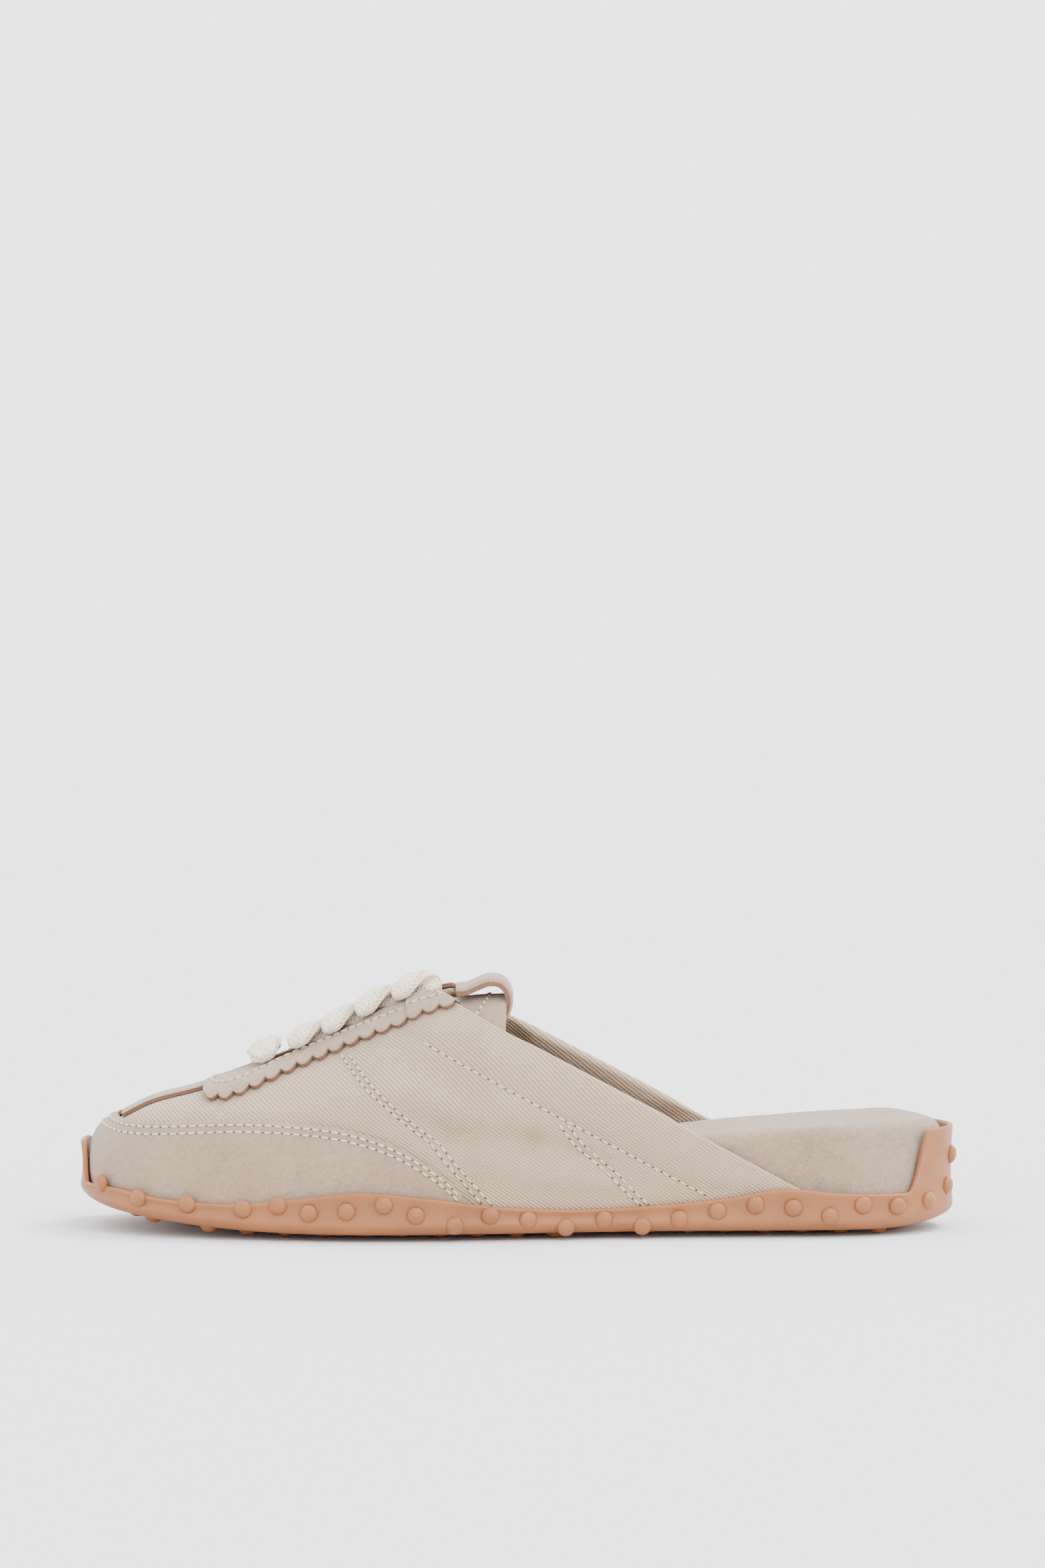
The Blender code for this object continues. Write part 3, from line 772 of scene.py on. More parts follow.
def twill_material(name, colour, painted_shade=1.0):
    """Cotton twill: slanting ribs, each broken up by its yarns, with painted shade in the grooves
    between the ribs.
    """
    material, tree, shader = new_material(name)
    uv = tree.nodes.new("ShaderNodeTexCoord").outputs["UV"]
    period = 0.00088
    wobble = noise(tree, uv, 240.0, 2.0, 0.5)
    turned = add_node(tree, "ShaderNodeMapping", vector_type="POINT")
    turned.inputs["Rotation"].default_value = (0, 0, math.radians(-55))
    tree.links.new(uv, turned.inputs["Vector"])
    wave = add_node(tree, "ShaderNodeTexWave", wave_type="BANDS", bands_direction="X",
                    in_Scale=math.tau / (20 * period), in_Distortion=1.3, in_Detail=1.0)
    wave.inputs["Detail Scale"].default_value = 1.5
    tree.links.new(turned.outputs["Vector"], wave.inputs["Vector"])
    yarn = noise(tree, uv, 2400.0, 2.0, 0.6)
    patches = noise(tree, uv, 40.0, 3.0, 0.5)
    ribs = math_node(tree, "ADD", math_node(tree, "MULTIPLY", wave.outputs["Fac"], 0.55),
                     math_node(tree, "MULTIPLY", yarn, 0.30))
    ribs = math_node(tree, "ADD", ribs, math_node(tree, "MULTIPLY", wobble, 0.15))
    # Colour follows the rib height: darker in the grooves between the ribs as painted shade, the yarn,
    # wobble and patch noise giving random tone
    tone = math_node(tree, "ADD", math_node(tree, "MULTIPLY", ribs, 0.80),
                     math_node(tree, "MULTIPLY", patches, 0.20))
    # A factor under 1 makes the whole copy darker: painted shade for the lining inside the shoe
    colour = shade(colour, painted_shade)
    colours = ramp(tree, tone, (
        (0.22, shade(colour, 0.62)), (0.46, shade(colour, 0.97)), (0.75, shade(colour, 1.12))))
    tree.links.new(colours, shader.inputs["Base Color"])
    shader.inputs["Roughness"].default_value = 0.92
    shader.inputs["Specular IOR Level"].default_value = 0.18
    shader.inputs["Sheen Weight"].default_value = 0.18
    shader.inputs["Sheen Roughness"].default_value = 0.5
    bump(tree, shader, ribs, 0.00032, 0.9)
    return material


def rubber_material(colour):
    """Translucent gum rubber: satin, slightly cloudy, with a little light inside it."""
    material, tree, shader = new_material("gum_rubber")
    place = tree.nodes.new("ShaderNodeTexCoord").outputs["Object"]
    cloud = noise(tree, place, 55.0, 3.0, 0.55)
    dust = noise(tree, place, 900.0, 3.0, 0.6)
    mix = math_node(tree, "ADD", math_node(tree, "MULTIPLY", cloud, 0.75),
                    math_node(tree, "MULTIPLY", dust, 0.25))
    colours = ramp(tree, mix, (
        (0.36, shade(colour, 0.86)), (0.50, colour), (0.66, shade(colour, 1.14))))
    tree.links.new(colours, shader.inputs["Base Color"])
    rough = ramp(tree, dust, ((0.3, (0.40, 0.40, 0.40)), (0.7, (0.56, 0.56, 0.56))))
    tree.links.new(rough, shader.inputs["Roughness"])
    shader.inputs["Specular IOR Level"].default_value = 0.42
    shader.inputs["Subsurface Weight"].default_value = 0.25
    shader.inputs["Subsurface Radius"].default_value = (1.0, 0.45, 0.2)
    shader.inputs["Subsurface Scale"].default_value = 0.0015
    bump(tree, shader, dust, 0.00006, 0.5)
    return material


def lace_material(colour):
    """Chunky knitted cotton: slanting plies across the lace, with painted shade in the grooves between
    them.
    """
    material, tree, shader = new_material("knitted_cotton")
    uv = tree.nodes.new("ShaderNodeTexCoord").outputs["UV"]
    waves = []
    for angle in (38, -38):
        turned = add_node(tree, "ShaderNodeMapping")
        turned.inputs["Rotation"].default_value = (0, 0, math.radians(angle))
        tree.links.new(uv, turned.inputs["Vector"])
        wave = add_node(tree, "ShaderNodeTexWave", in_Scale=math.tau / (20 * 0.0013),
                        in_Distortion=2.0, in_Detail=2.0)
        tree.links.new(turned.outputs["Vector"], wave.inputs["Vector"])
        waves.append(wave.outputs["Fac"])
    plies = math_node(tree, "MAXIMUM", waves[0], waves[1])
    fluff = noise(tree, uv, 2200.0, 4.0, 0.7)
    height = math_node(tree, "ADD", math_node(tree, "MULTIPLY", plies, 0.7),
                       math_node(tree, "MULTIPLY", fluff, 0.3))
    # Colour follows the ply height: darker in the grooves between the plies as painted shade, the fluff
    # noise giving random tone
    colours = ramp(tree, height, (
        (0.20, shade(colour, 0.70)), (0.50, shade(colour, 0.98)), (0.85, shade(colour, 1.08))))
    tree.links.new(colours, shader.inputs["Base Color"])
    shader.inputs["Roughness"].default_value = 0.95
    shader.inputs["Specular IOR Level"].default_value = 0.15
    shader.inputs["Sheen Weight"].default_value = 0.3
    bump(tree, shader, height, 0.0007, 0.9)
    return material


def thread_material(name, colour):
    material, tree, shader = new_material(name)
    place = tree.nodes.new("ShaderNodeTexCoord").outputs["Object"]
    twist = noise(tree, place, 3000.0, 2.0, 0.5)
    colours = ramp(tree, twist, ((0.3, shade(colour, 0.82)), (0.7, shade(colour, 1.1))))
    tree.links.new(colours, shader.inputs["Base Color"])
    shader.inputs["Roughness"].default_value = 0.7
    bump(tree, shader, twist, 0.0001, 0.6)
    return material


def floor_material(colour):
    material, tree, shader = new_material("studio_floor")
    place = tree.nodes.new("ShaderNodeTexCoord").outputs["Object"]
    soft = noise(tree, place, 3.0, 2.0, 0.5)
    colours = ramp(tree, soft, ((0.3, shade(colour, 0.995)), (0.7, colour)))
    tree.links.new(colours, shader.inputs["Base Color"])
    shader.inputs["Roughness"].default_value = 0.9
    shader.inputs["Specular IOR Level"].default_value = 0.1
    return material


def colour(name, description, default):
    return bpy.props.FloatVectorProperty(
        name=name, description=description, subtype="COLOR", size=3, default=default, min=0, max=1)


def length(name, description, default):
    return bpy.props.FloatProperty(
        name=name, description=description, default=default, min=default / 2, max=default * 1.5,
        unit="LENGTH")


class MuleColours(bpy.types.PropertyGroup):
    """Colours of the hides, cloth, rubber and laces"""
    suede: colour("Suede", "Guard, strip, eyestay, tongue and loop", (0.300, 0.215, 0.148))
    footbed: colour("Footbed", "Suede over the footbed", (0.315, 0.228, 0.160))
    raw_edge: colour("Raw edge", "Cut edges of the suede", (0.230, 0.122, 0.080))
    twill: colour("Twill", "Cotton twill of the upper", (0.375, 0.278, 0.188))
    rubber: colour("Rubber", "Gum rubber of the sole", (0.260, 0.092, 0.028))
    lace: colour("Lace", "Knitted cotton laces", (0.800, 0.660, 0.520))
    thread: colour("Thread", "Stitching", (0.520, 0.430, 0.310))
    floor: colour("Floor", "Studio floor and background", (0.720, 0.720, 0.725))


class MuleSizes(bpy.types.PropertyGroup):
    """Sizes of what is laid over the model"""
    upper_wall: length("Upper wall", "Thickness of twill and lining", 0.0022)
    collar_wall: length("Collar wall", "Thickness of the padded collar edge", 0.0042)
    suede_wall: length("Suede", "Thickness of the suede overlays", 0.0014)
    tongue_wall: length("Tongue", "Thickness of the tongue", 0.0030)
    lace_width: length("Lace width", "Width of a lace where it is widest", 0.0106)
    lace_thick: length("Lace thickness", "Thickness of a lace where it is thickest", 0.0047)
    stud_width: length("Stud", "Diameter of a sole stud", 0.0054)
    stitch: length("Stitch", "Length of one stitch", 0.0022)


def colours():
    return bpy.context.scene.mule_colours


def sizes():
    return bpy.context.scene.mule_sizes


@functools.lru_cache(maxsize=None)
def finish(name):
    """Each material, made once."""
    tones = colours()
    makers = {
        "suede": lambda: suede_material("suede", tuple(tones.suede)),
        "footbed": lambda: suede_material("footbed_suede", tuple(tones.footbed), nap=1.7),
        "raw_edge": lambda: raw_edge_material(tuple(tones.raw_edge)),
        "twill": lambda: twill_material("twill", tuple(tones.twill)),
        # Lining: the same twill made darker, as painted shade inside the shoe
        "lining": lambda: twill_material("twill_lining_painted_shade", tuple(tones.twill), 0.86),
        "rubber": lambda: rubber_material(tuple(tones.rubber)),
        "lace": lambda: lace_material(tuple(tones.lace)),
        "thread": lambda: thread_material("thread", tuple(tones.thread)),
        # Needle holes: near-black thread material as painted shade
        "hole": lambda: thread_material("needle_hole_shade", HOLE_SHADE_COLOUR),
        "floor": lambda: floor_material(tuple(tones.floor)),
    }
    return makers[name]()


# Outsole

SOLE_COLUMNS = 360


def sole_path(u):
    """Round the outline: heel, outer side, toe, inner side, heel."""
    turn = math.pi * (1 - abs(1 - 2 * u))
    return station_of(math.pi - turn), (-1 if u < 0.5 else 1)


def pour(source, target):
    """Moves one mesh under construction into another."""
    mesh = bpy.data.meshes.new("batch")
    source.to_mesh(mesh)
    source.free()
    target.from_mesh(mesh)
    bpy.data.meshes.remove(mesh)


def dome(bm, place, outward, width, height):
    """Round stud standing on a surface."""
    turn = outward.to_track_quat("Z", "Y").to_matrix().to_4x4()
    size = Matrix.Diagonal((width / 2, width / 2, height, 1))
    bmesh.ops.create_uvsphere(
        bm, u_segments=18, v_segments=12, radius=1.0, matrix=Matrix.Translation(place) @ turn @ size)


def sole_profile(station, side):
    """Section of the rubber cup, from under the foot out, up, over the rim and down inside."""
    low = underside(station)
    top = rim_height(station, side)
    under = STUD_MARGIN * 0.55
    lip = RIM_WALL * 0.5
    points = [(under * 2.2, low)]
    for k in range(9):
        angle = k / 8 * math.pi / 2
        points.append((under * (1 - math.sin(angle)), low + SOLE_BASE * 0.85 * (1 - math.cos(angle))))
    for k in range(1, 9):
        height = low + SOLE_BASE * 0.85 + (top - lip - low - SOLE_BASE * 0.85) * k / 8
        points.append((0.0006 * math.sin(math.pi * k / 8), height))
    for k in range(1, 8):
        angle = k / 8 * math.pi
        points.append((lip * (1 - math.cos(angle)), top - lip + lip * math.sin(angle)))
    points.append((RIM_WALL, top - lip))
    points.append((RIM_WALL, (top + low + SOLE_BASE) / 2))
    points.append((RIM_WALL, low + SOLE_BASE))
    return points


class MULE_OT_outsole(bpy.types.Operator):
    """Gum rubber cup with a wavy rim, a toe bumper, a heel tab and round studs"""
    bl_idname = "mule.outsole"
    bl_label = "Outsole"

    def execute(self, context):
        bm = bmesh.new()
        rows = len(sole_profile(0.5, -1)) - 1

        def wall(u, v):
            station, side = sole_path(u)
            inset, height = sole_profile(station, side)[round(v * rows)]
            place = outline_point(station, side, inset)
            return Vector((place.x, place.y, height))

        def sheet(inset, height):
            def place(u, v):
                station = station_of(math.pi * u)
                left = outline_point(station, -1, inset)
                right = outline_point(station, 1, inset)
                middle = left.lerp(right, v)
                return Vector((middle.x, middle.y, height(station)))

            return place

        mapped_grid(bm, SOLE_COLUMNS, rows, wall)
        half = SOLE_COLUMNS // 2
        mapped_grid(bm, half, 8, sheet(STUD_MARGIN * 0.55 * 2.2, underside))
        mapped_grid(bm, half, 8, sheet(RIM_WALL, lambda s: underside(s) + SOLE_BASE))
        bmesh.ops.remove_doubles(bm, verts=bm.verts, dist=0.00002)
        bmesh.ops.recalc_face_normals(bm, faces=bm.faces)
        studs = bmesh.new()
        self.bottom_studs(studs)
        self.wall_studs(studs)
        pour(studs, bm)
        finish_piece("outsole_rubber", bm, [finish("rubber")], "outsole", weld=0.000001,
                     recalc=False)
        return {"FINISHED"}

    def bottom_studs(self, bm):
        count = int(LENGTH / STUD_PITCH * 2)
        rows = int(BALL_WIDTH / STUD_PITCH) + 1
        for i in range(count + 1):
            x = (i - count / 2) * STUD_PITCH / 2
            station = share_of(x)
            if not 0.02 < station < 0.985 or min(station, 1 - station) * LENGTH < STUD_MARGIN:
                continue
            for j in range(-rows, rows + 1):
                y = (j + 0.5 * (i % 2)) * STUD_PITCH * math.sqrt(3)
                low = outline_side(station, -1) + STUD_MARGIN
                high = outline_side(station, 1) - STUD_MARGIN
                if low < y < high:
                    place = Vector((x, y, underside(station)))
                    dome(bm, place, Vector((0, 0, -1)), sizes().stud_width, STUD_DROP)

    def wall_studs(self, bm):
        for side in (-1, 1):
            for station, height in WALL_STUDS:
                outer, inward = outline_frame(station, side)
                place = Vector((outer.x + inward.x * 0.0003, outer.y + inward.y * 0.0003, height))
                outward = Vector((-inward.x, -inward.y, -0.15)).normalized()
                dome(bm, place, outward, sizes().stud_width, 0.0016)


# Footbed

def lean(station, side, height):
    """How far the upper's wall has leaned in at a height."""
    base = underside(station) + SOLE_BASE
    power = SQUARENESS(station)
    share = min(max((height - base) / (ridge_height(station) - base), 0.0), 0.95)
    half = abs(outline_side(station, side) - spine_side(station))
    return half * (1 - (1 - share ** power) ** (1 / power))


def bed_inset(station, side):
    inside = skin_inset(station) + sizes().upper_wall + 0.0006 + lean(station, side, bed_top(station))
    behind = ease((station - 0.77) / 0.12)
    return inside + (RIM_WALL + 0.0008 - inside) * behind


BED_ROUND = 0.0046


class MULE_OT_footbed(bpy.types.Operator):
    """Thick suede-covered footbed with soft shoulders and a dished heel"""
    bl_idname = "mule.footbed"
    bl_label = "Footbed"

    def execute(self, context):
        bm = bmesh.new()
        turns = 10

        def wall(u, v):
            station, side = sole_path(u)
            top = bed_top(station)
            low = underside(station) + SOLE_BASE + 0.0003
            step = round(v * (turns + 4))
            if step <= 4:
                bulge = 0.0005 * math.sin(math.pi * step / 4) * ease((station - 0.84) * 20)
                inset = bed_inset(station, side) - bulge
                height = low + (top - BED_ROUND - low) * step / 4
                inset += 0.0012 * step / 4
            else:
                angle = (step - 4) / turns * math.pi / 2
                inset = bed_inset(station, side) + 0.0012 + BED_ROUND * (1 - math.cos(angle))
                height = top - BED_ROUND * (1 - math.sin(angle))
            place = outline_point(station, side, inset)
            return Vector((place.x, place.y, height))

        def top(u, v):
            station = station_of(math.pi * u)
            ends = [outline_point(station, side, bed_inset(station, side) + 0.0012 + BED_ROUND)
                    for side in (-1, 1)]
            middle = ends[0].lerp(ends[1], v)
            dish = 0.0016 * ease((station - 0.45) * 3) * math.sin(math.pi * v) ** 1.3
            dish *= ease((1 - station) * 12)
            return Vector((middle.x, middle.y, bed_top(station) - dish))

        def base(u, v):
            station = station_of(math.pi * u)
            ends = [outline_point(station, side, bed_inset(station, side)) for side in (-1, 1)]
            middle = ends[0].lerp(ends[1], v)
            return Vector((middle.x, middle.y, underside(station) + SOLE_BASE + 0.0003))

        mapped_grid(bm, 300, turns + 4, wall)
        mapped_grid(bm, 150, 24, top)
        mapped_grid(bm, 150, 4, base)
        finish_piece("footbed_suede", bm, [finish("footbed")], "footbed")
        return {"FINISHED"}


# Upper

class MULE_OT_upper(bpy.types.Operator):
    """Twill upper with its lining, folds and rolled collar"""
    bl_idname = "mule.upper"
    bl_label = "Upper"

    def execute(self, context):
        bm = bmesh.new()
        way = round_the_toe(0.0, UPPER_END)
        front = turn_of(THROAT_FRONT) / turn_of(UPPER_END)
        spans = ((0.0, (1 - front) / 2, 220), ((1 - front) / 2, (1 + front) / 2, 200),
                 ((1 + front) / 2, 1.0, 220))
        rows = 50

        def thickness(point):
            station = share_of(point.x)
            near = ease(1 - (collar_line(station) - point.z) / 0.010)
            above = ease((point.z - bed_top(station) - 0.001) / 0.008)
            ahead = ease((station - 0.494) / 0.03)
            extra = sizes().collar_wall - sizes().upper_wall
            return sizes().upper_wall + extra * near * above * ahead

        def layer(start, end, inside):
            def place(u, v):
                station, side = way(start + (end - start) * u)
                climb = opening_climb(station, side) * v
                outer = lifted(station, side, climb, 0.0)
                if not inside:
                    return outer
                inner = lifted(station, side, climb, -thickness(outer))
                inner.z = max(inner.z, outer.z - sizes().upper_wall * 1.4)
                return inner

            return place

        def roll(start, end):
            outer_face = layer(start, end, False)
            inner_face = layer(start, end, True)

            def place(u, v):
                top = outer_face(u, 1.0)
                bottom = inner_face(u, 1.0)
                onward = (top - outer_face(u, 0.985)).normalized()
                middle = (top + bottom) / 2
                arm = top - middle
                angle = math.pi * v
                return middle + arm * math.cos(angle) + onward * arm.length * math.sin(angle) * 0.8

            return place

        for start, end, count in spans:
            face = layer(start, end, False)
            lining = layer(start, end, True)
            mapped_grid(bm, count, rows, face, side_uv)
            # The lining takes the darkened twill: painted shade
            mapped_grid(bm, count, rows, lining, side_uv, material=1)
            mapped_grid(bm, count, 1,
                        lambda u, v, a=face, b=lining: b(u, 0.0) if v else a(u, 0.0))
            if count == 220:
                edge = roll(start, end)
                mapped_grid(bm, count, 8, edge, side_uv)
        for start, end, count in (spans[0], spans[2]):
            u = 0.0 if start == 0.0 else 1.0
            face = layer(start, end, False)
            lining = layer(start, end, True)
            mapped_grid(bm, 1, rows,
                        lambda k, v, a=face, b=lining, u=u: b(u, v) if k else a(u, v))
        finish_piece("upper_twill", bm, [finish("twill"), finish("lining")], "upper")
        return {"FINISHED"}


# Suede overlays

GUARD_PLAN = round_the_toe(0.0, GUARD_END)


class MULE_OT_overlays(bpy.types.Operator):
    """Suede toe guard, toe strip and pinked eyestay"""
    bl_idname = "mule.overlays"
    bl_label = "Overlays"

    def execute(self, context):
        self.guard()
        self.strip()
        self.eyestay()
        return {"FINISHED"}

    def guard(self):
        bm = bmesh.new()

        def face(u, v, lift):
            station, side = GUARD_PLAN(u)
            climb = guard_climb(station, side, 0.0) * v
            return lifted(station, side, climb, SKIN_GAP + lift)

        slab(bm, 320, 26, face, sizes().suede_wall)
        finish_piece("toe_guard_suede", bm, [finish("suede"), finish("raw_edge")],
                     "toe_guard")

    def strip(self):
        """Strip over the toe, its rear end running into the eyestay."""
        bm = bmesh.new()
        front = 0.052
        back = 0.152

        def face(u, v, lift):
            station = front + (back - front) * u
            across = (v - 0.5) * 0.0155
            return toe_point(station, across, lift + 0.0002)

        slab(bm, 60, 14, face, sizes().suede_wall + 0.0001)
        finish_piece("toe_strip_suede", bm, [finish("suede"), finish("raw_edge")],
                     "toe_strip")

    def eyestay(self):
        bm = bmesh.new()
        way = round_the_toe(fan_station(STAY_FRONT), COLLAR_TOP)

        def face(u, v, lift):
            station, side = way(u)
            low = stay_climb(station, side, 0.0)
            high = opening_climb(station, side)
            high = max(high, low)
            return lifted(station, side, low + (high - low) * v, SKIN_GAP + lift)

        slab(bm, 420, 18, face, sizes().suede_wall)
        finish_piece("eyestay_suede", bm, [finish("suede"), finish("raw_edge")],
                     "eyestay")


@functools.lru_cache(maxsize=None)
def toe_place(station, across):
    """Outline station and climb whose point on the toe lies at a plan place."""
    side = -1 if across < 0 else 1
    x = x_at(station)
    low = 0.0
    high = station
    climb = 1.0
    for _ in range(24):
        middle = (low + high) / 2
        climb = climb_until(
            middle, side, lambda p: side * (p.y - spine_side(round(share_of(p.x), 5)) - across) > 0)
        if skin(middle, side, climb).x < x:
            low = middle
        else:
            high = middle
    return low, side, climb


def toe_point(station, across, lift):
    where, side, climb = toe_place(round(station, 6), round(across, 6) or 1e-6)
    return lifted(where, side, climb, lift)


# Tongue and pull loop

TONGUE_FRONT = 0.170
TONGUE_END = 0.489
TONGUE_WIDTH = 0.0480
TONGUE_SINK = 0.0034
LOOP_WIDTH = 0.0220
LOOP_WALL = 0.0022


class MULE_OT_tongue(bpy.types.Operator):
    """Suede tongue under the laces"""
    bl_idname = "mule.tongue"
    bl_label = "Tongue"

    def execute(self, context):
        bm = bmesh.new()

        def face(u, v, lift):
            across = (v - 0.5) * TONGUE_WIDTH
            station = TONGUE_FRONT + (TONGUE_END - TONGUE_FRONT) * u
            return arch_lifted(station, across, -TONGUE_SINK - sizes().tongue_wall + lift)

        slab(bm, 90, 40, face, sizes().tongue_wall)
        finish_piece("tongue_suede", bm, [finish("suede"), finish("raw_edge")], "tongue")
        return {"FINISHED"}


def loop_frame(u):
    """Middle of the pull loop and its outward direction, at a share of its route."""
    def middle(k):
        step = k * (len(LOOP_ROUTE) - 1)
        return Vector((x_at(LOOP_X(step)), spine_side(0.46), LOOP_Z(step) * RIDGE_HEIGHT))

    near = min(max(u, 0.01), 0.99)
    along = (middle(near + 0.01) - middle(near - 0.01)).normalized()
    return middle(u), Vector((-along.z, 0, along.x))


class MULE_OT_pull_loop(bpy.types.Operator):
    """Suede band over the end of the tongue"""
    bl_idname = "mule.pull_loop"
    bl_label = "Pull loop"

    def execute(self, context):
        bm = bmesh.new()

        def face(u, v, lift):
            here, outward = loop_frame(u)
            across = (v - 0.5) * LOOP_WIDTH
            drop = Vector((0, across, -across * across * 9))
            return here + outward * (lift - LOOP_WALL / 2) + drop

        slab(bm, 90, 26, face, LOOP_WALL, edge=0.0008)
        finish_piece("pull_loop_suede", bm, [finish("suede"), finish("raw_edge")],
                     "pull_loop")
        return {"FINISHED"}


# Laces

def lace_run(bm, start, end, rises, arch_height, plump=1.0):
    """Puffy flat lace over the throat; start and end are a station and a distance across."""
    steps = 64

    def middle(k):
        station = start[0] + (end[0] - start[0]) * k
        across = start[1] + (end[1] - start[1]) * k
        lift = rises[0] + (rises[1] - rises[0]) * ease(k) + arch_height * math.sin(math.pi * k) ** 0.8
        return arch_lifted(station, across, lift)

    def place(u, v):
        a = min(max(u, 0.01), 0.99)
        along = (middle(a + 0.01) - middle(a - 0.01)).normalized()
        flat = along.cross(Vector((0.5, 0, -1))).normalized()
        up = flat.cross(along).normalized()
        if up.z < 0:
            up = -up
        swell = 0.56 + 0.44 * math.sin(math.pi * min(max(u, 0.0), 1.0)) ** 0.7
        close = math.sqrt(max(1 - (2 * u - 1) ** 14, 0.0))
        angle = math.tau * v
        ply = 0.90 + 0.16 * abs(math.cos(3 * angle + 5.2 * u))
        wide = math.copysign(abs(math.cos(angle)) ** 0.85, math.cos(angle)) * sizes().lace_width / 2
        high = math.copysign(abs(math.sin(angle)) ** 0.85, math.sin(angle)) * sizes().lace_thick / 2
        return middle(u) + (flat * wide * swell + up * high * plump * (0.7 + 0.3 * swell)) * close * ply

    length = (middle(1.0) - middle(0.0)).length * 1.15
    mapped_grid(bm, steps, 42, place, lambda u, v, point: (u * length, v * 0.021))


class MULE_OT_laces(bpy.types.Operator):
    """Knitted cotton laces: a bar and four crossings"""
    bl_idname = "mule.laces"
    bl_label = "Laces"

    def execute(self, context):
        on_top = SKIN_GAP + sizes().suede_wall + sizes().lace_thick * 0.36
        tucked = -0.0004
        outer = 0.0118
        inner = THROAT_WIDTH / 2 - 0.0022
        bm = bmesh.new()
        bar = EYELET_FRONT + 0.002
        lace_run(bm, (bar, -outer), (bar, outer), (on_top, on_top), 0.0018)
        finish_piece("lace_bar_cotton", bm, [finish("lace")], "lace_bar")
        for row in range(1, EYELET_ROWS):
            low = EYELET_FRONT + EYELET_STEP * row
            high = EYELET_FRONT + EYELET_STEP * (row + 0.80)
            bm = bmesh.new()
            lace_run(bm, (low, outer), (high, -inner), (on_top, tucked), 0.0018)
            lace_run(bm, (low, -outer), (high, inner), (on_top, tucked), 0.0030)
            finish_piece(f"lace_cross_{row}_cotton", bm, [finish("lace")], f"lace_cross_{row}")
        return {"FINISHED"}


# Stitches

def walk(points, pitch):
    """Even places along a run of points and normals."""
    places = []
    spare = pitch / 2
    for (a, na), (b, nb) in zip(points, points[1:]):
        length = (b - a).length
        while spare < length:
            k = spare / length
            places.append((a.lerp(b, k), (b - a).normalized(), na.lerp(nb, k).normalized()))
            spare += pitch
        spare -= length
    return places


def sew(threads, holes, points, pitch=0.0029):
    """Row of stitches along a run, with a near-black disc between each two: painted shade of a needle
    hole.
    """
    places = walk(points, pitch)
    for first in range(0, len(places), 30):
        made = bmesh.new()
        punched = bmesh.new()
        for place, along, normal in places[first:first + 30]:
            across = normal.cross(along).normalized()
            turn = Matrix((along, across, normal)).transposed().to_4x4()
            size = Matrix.Diagonal((sizes().stitch / 2, 0.00042, 0.00036, 1))
            bmesh.ops.create_uvsphere(made, u_segments=8, v_segments=6, radius=1.0,
                                      matrix=Matrix.Translation(place) @ turn @ size)
            # Flat near-black disc in the gap: painted shade of a needle hole, as none is cut
            gap = place + along * pitch / 2 - normal * 0.0001
            size = Matrix.Diagonal((0.00032, 0.00032, 0.00012, 1))
            bmesh.ops.create_uvsphere(punched, u_segments=6, v_segments=4, radius=1.0,
                                      matrix=Matrix.Translation(gap) @ turn @ size)
        pour(made, threads)
        pour(punched, holes)


def on_skin(station, side, climb, lift):
    return lifted(station, side, climb, lift), skin_normal(station, side, climb)


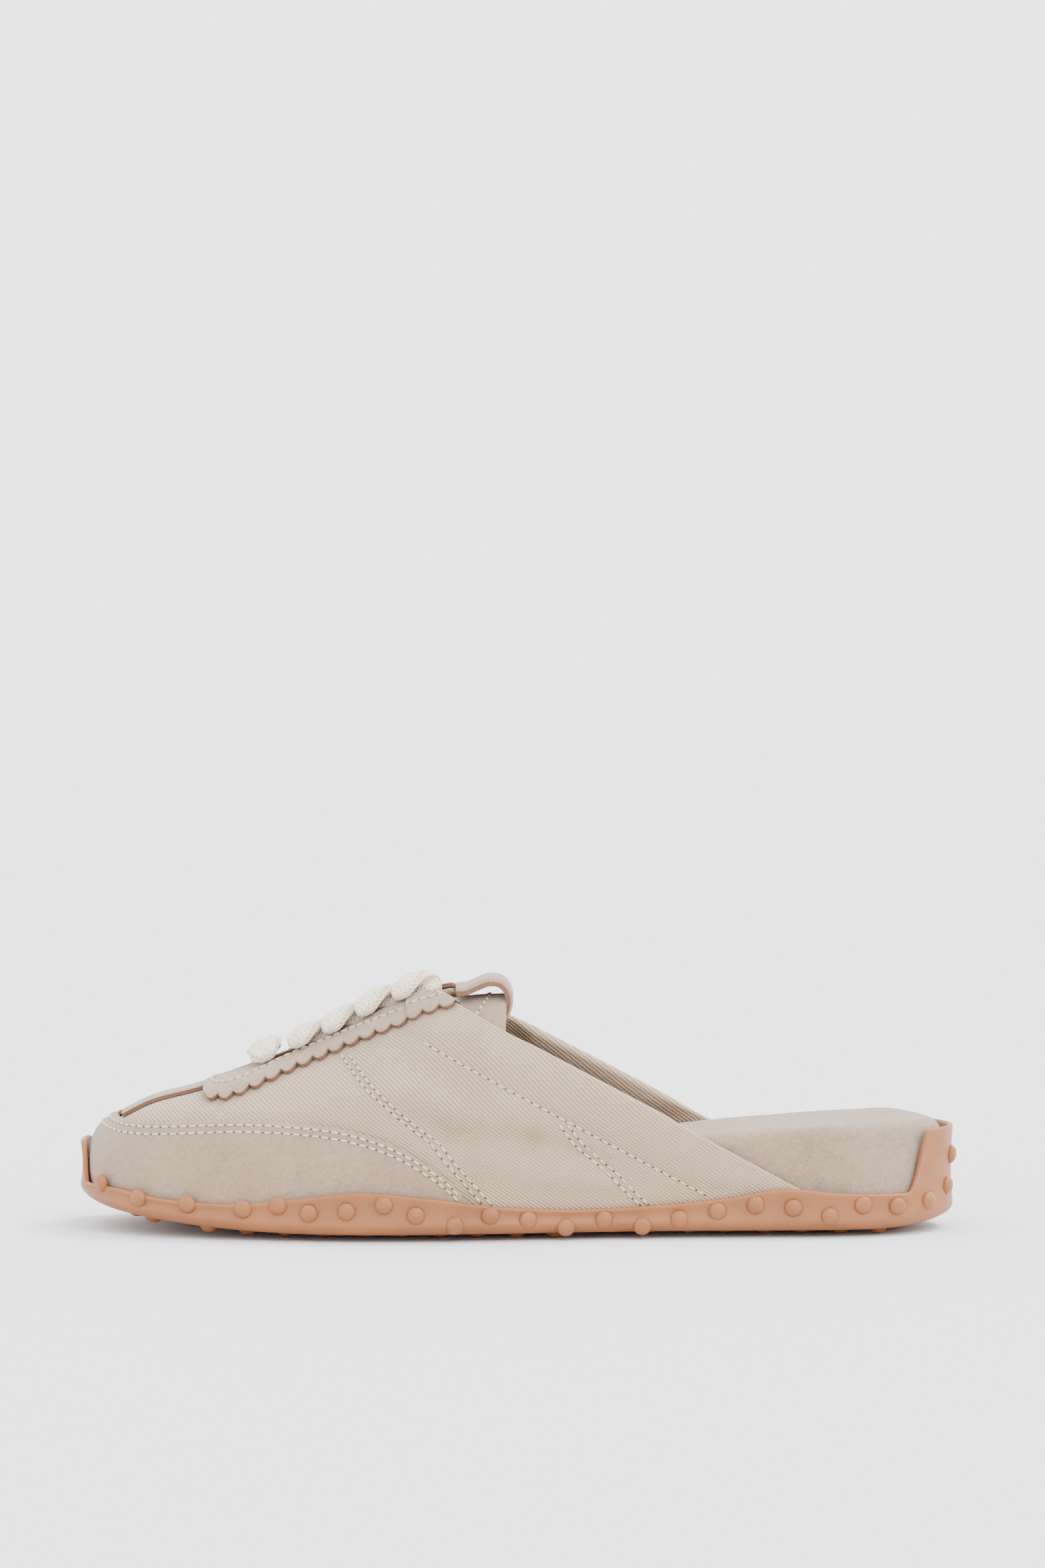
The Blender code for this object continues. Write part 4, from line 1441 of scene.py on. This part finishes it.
class MULE_OT_stitches(bpy.types.Operator):
    """Rows of stitching on the guard, quarters, collar, eyestay and tongue"""
    bl_idname = "mule.stitches"
    bl_label = "Stitches"

    def execute(self, context):
        threads = bmesh.new()
        holes = bmesh.new()
        over = SKIN_GAP + sizes().suede_wall + 0.0001
        for drop in (0.0014, 0.0032):
            points = []
            for i in range(401):
                station, side = GUARD_PLAN(i / 400)
                climb = guard_climb(station, side, drop)
                if station < GUARD_END - 0.012:
                    points.append(on_skin(station, side, climb, over))
            sew(threads, holes, points)
        way = round_the_toe(fan_station(STAY_FRONT), COLLAR_TOP)
        points = []
        for i in range(301):
            station, side = way(i / 300)
            climb = stay_climb(station, side, 0.0022, False)
            if station < COLLAR_TOP - 0.014 and climb < 0.999:
                points.append(on_skin(station, side, climb, over))
        sew(threads, holes, points, 0.0027)
        for side in (-1, 1):
            for seam in (FRONT_SEAM, REAR_SEAM):
                for shift in (-0.0048, 0.0048):
                    sew(threads, holes, self.seam(seam, side, shift))
            points = []
            for i in range(140):
                station = 0.396 + (0.713 - 0.396) * i / 139
                height = collar_slope(station) - COLLAR_BAND
                points.append(on_skin(station, side, height_climb(station, side, height), 0.0002))
            sew(threads, holes, points)
            self.eyestay_end(threads, holes, side, over)
        self.tongue_row(threads, holes)
        finish_piece("stitches", threads, [finish("thread")], None, weld=1e-7,
                     recalc=False)
        # Discs at the needle holes: painted shade
        finish_piece("needle_holes", holes, [finish("hole")], None, weld=1e-7,
                     recalc=False)
        return {"FINISHED"}

    def seam(self, seam, side, shift):
        heights = table_reader(seam, 1)
        points = []
        for i in range(60):
            station = seam[0][0] + (seam[-1][0] - seam[0][0]) * i / 59
            climb = height_climb(station + shift, side, heights(station) * RIDGE_HEIGHT)
            points.append(on_skin(station + shift, side, climb, 0.0002))
        return points

    def eyestay_end(self, threads, holes, side, over):
        points = []
        for i in range(16):
            k = i / 15
            station = 0.4035 + 0.018 * k
            low = stay_climb(station, side, 0.0022, False)
            high = opening_climb(station, side)
            climb = high + (low - high) * (0.25 + 0.75 * k)
            points.append(on_skin(station, side, climb, over))
        sew(threads, holes, points, 0.0027)

    def tongue_row(self, threads, holes):
        points = []
        for i in range(61):
            across = (i / 60 - 0.5) * (TONGUE_WIDTH - 0.008)
            station = TONGUE_END - (0.0050 + 0.006 * (2 * i / 60 - 1) ** 2) / LENGTH
            here = arch_lifted(station, across, -TONGUE_SINK + 0.0001)
            above = arch_lifted(station, across, 0.001)
            points.append((here, (above - here).normalized()))
        sew(threads, holes, points)


# Stage

def sun_light(name, place, energy, spread):
    """Even soft light from a direction, so that the floor keeps one tone to its end."""
    data = bpy.data.lights.new(name, "SUN")
    data.energy = energy
    data.angle = math.radians(spread)
    light = bpy.data.objects.new(name, data)
    light.location = place
    light.rotation_euler = (-Vector(place)).to_track_quat("-Z", "Y").to_euler()
    bpy.context.collection.objects.link(light)


class MULE_OT_stage(bpy.types.Operator):
    """Pale floor, soft studio light and the photograph's view"""
    bl_idname = "mule.stage"
    bl_label = "Stage"

    def execute(self, context):
        bm = bmesh.new()
        bmesh.ops.create_grid(bm, x_segments=1, y_segments=1, size=12.0)
        mesh = bpy.data.meshes.new("floor")
        bm.to_mesh(mesh)
        bm.free()
        mesh.materials.append(finish("floor"))
        floor = bpy.data.objects.new("floor", mesh)
        context.collection.objects.link(floor)
        world = bpy.data.worlds.new("studio")
        world.use_nodes = True
        background = world.node_tree.nodes["Background"]
        background.inputs["Color"].default_value = (0.985, 0.985, 1.0, 1)
        background.inputs["Strength"].default_value = 3.4
        context.scene.world = world
        sun_light("key_light", (0.55, 0.30, 0.95), 2.6, 14)
        sun_light("side_light", (0.60, -0.75, 0.85), 1.6, 40)
        camera_data = bpy.data.cameras.new("camera")
        camera_data.sensor_fit = "HORIZONTAL"
        camera_data.sensor_width = SENSOR
        camera_data.lens = SENSOR * FOCAL_PIXELS / FRAME_PIXELS
        camera_data.clip_start = 0.05
        camera = bpy.data.objects.new("camera", camera_data)
        camera.location = (VIEW_SHIFT, -VIEW_DISTANCE, VIEW_HEIGHT)
        camera.rotation_euler = (math.pi / 2 - VIEW_PITCH, 0, 0)
        context.collection.objects.link(camera)
        context.scene.camera = camera
        return {"FINISHED"}


class MULE_PT_panel(bpy.types.Panel):
    """Buttons for each piece of the shoe"""
    bl_idname = "MULE_PT_panel"
    bl_label = "Sneaker mule"
    bl_space_type = "VIEW_3D"
    bl_region_type = "UI"
    bl_category = "Mule"

    def draw(self, context):
        layout = self.layout
        for operator in PIECES:
            layout.operator(operator.bl_idname)
        for group in (context.scene.mule_sizes, context.scene.mule_colours):
            box = layout.box()
            for name in group.bl_rna.properties.keys():
                if name not in ("rna_type", "name"):
                    box.prop(group, name)


PIECES = (
    MULE_OT_stage,
    MULE_OT_outsole,
    MULE_OT_footbed,
    MULE_OT_upper,
    MULE_OT_overlays,
    MULE_OT_tongue,
    MULE_OT_pull_loop,
    MULE_OT_laces,
    MULE_OT_stitches,
)
CLASSES = (MuleColours, MuleSizes, *PIECES, MULE_PT_panel)


def register():
    for cls in CLASSES:
        bpy.utils.register_class(cls)
    bpy.types.Scene.mule_colours = bpy.props.PointerProperty(type=MuleColours)
    bpy.types.Scene.mule_sizes = bpy.props.PointerProperty(type=MuleSizes)


def unregister():
    del bpy.types.Scene.mule_sizes
    del bpy.types.Scene.mule_colours
    for cls in reversed(CLASSES):
        bpy.utils.unregister_class(cls)


def main():
    register()
    bpy.ops.mule.stage()
    bpy.ops.mule.outsole()
    bpy.ops.mule.footbed()
    bpy.ops.mule.upper()
    bpy.ops.mule.overlays()
    bpy.ops.mule.tongue()
    bpy.ops.mule.pull_loop()
    bpy.ops.mule.laces()
    bpy.ops.mule.stitches()


if __name__ == "__main__":
    main()
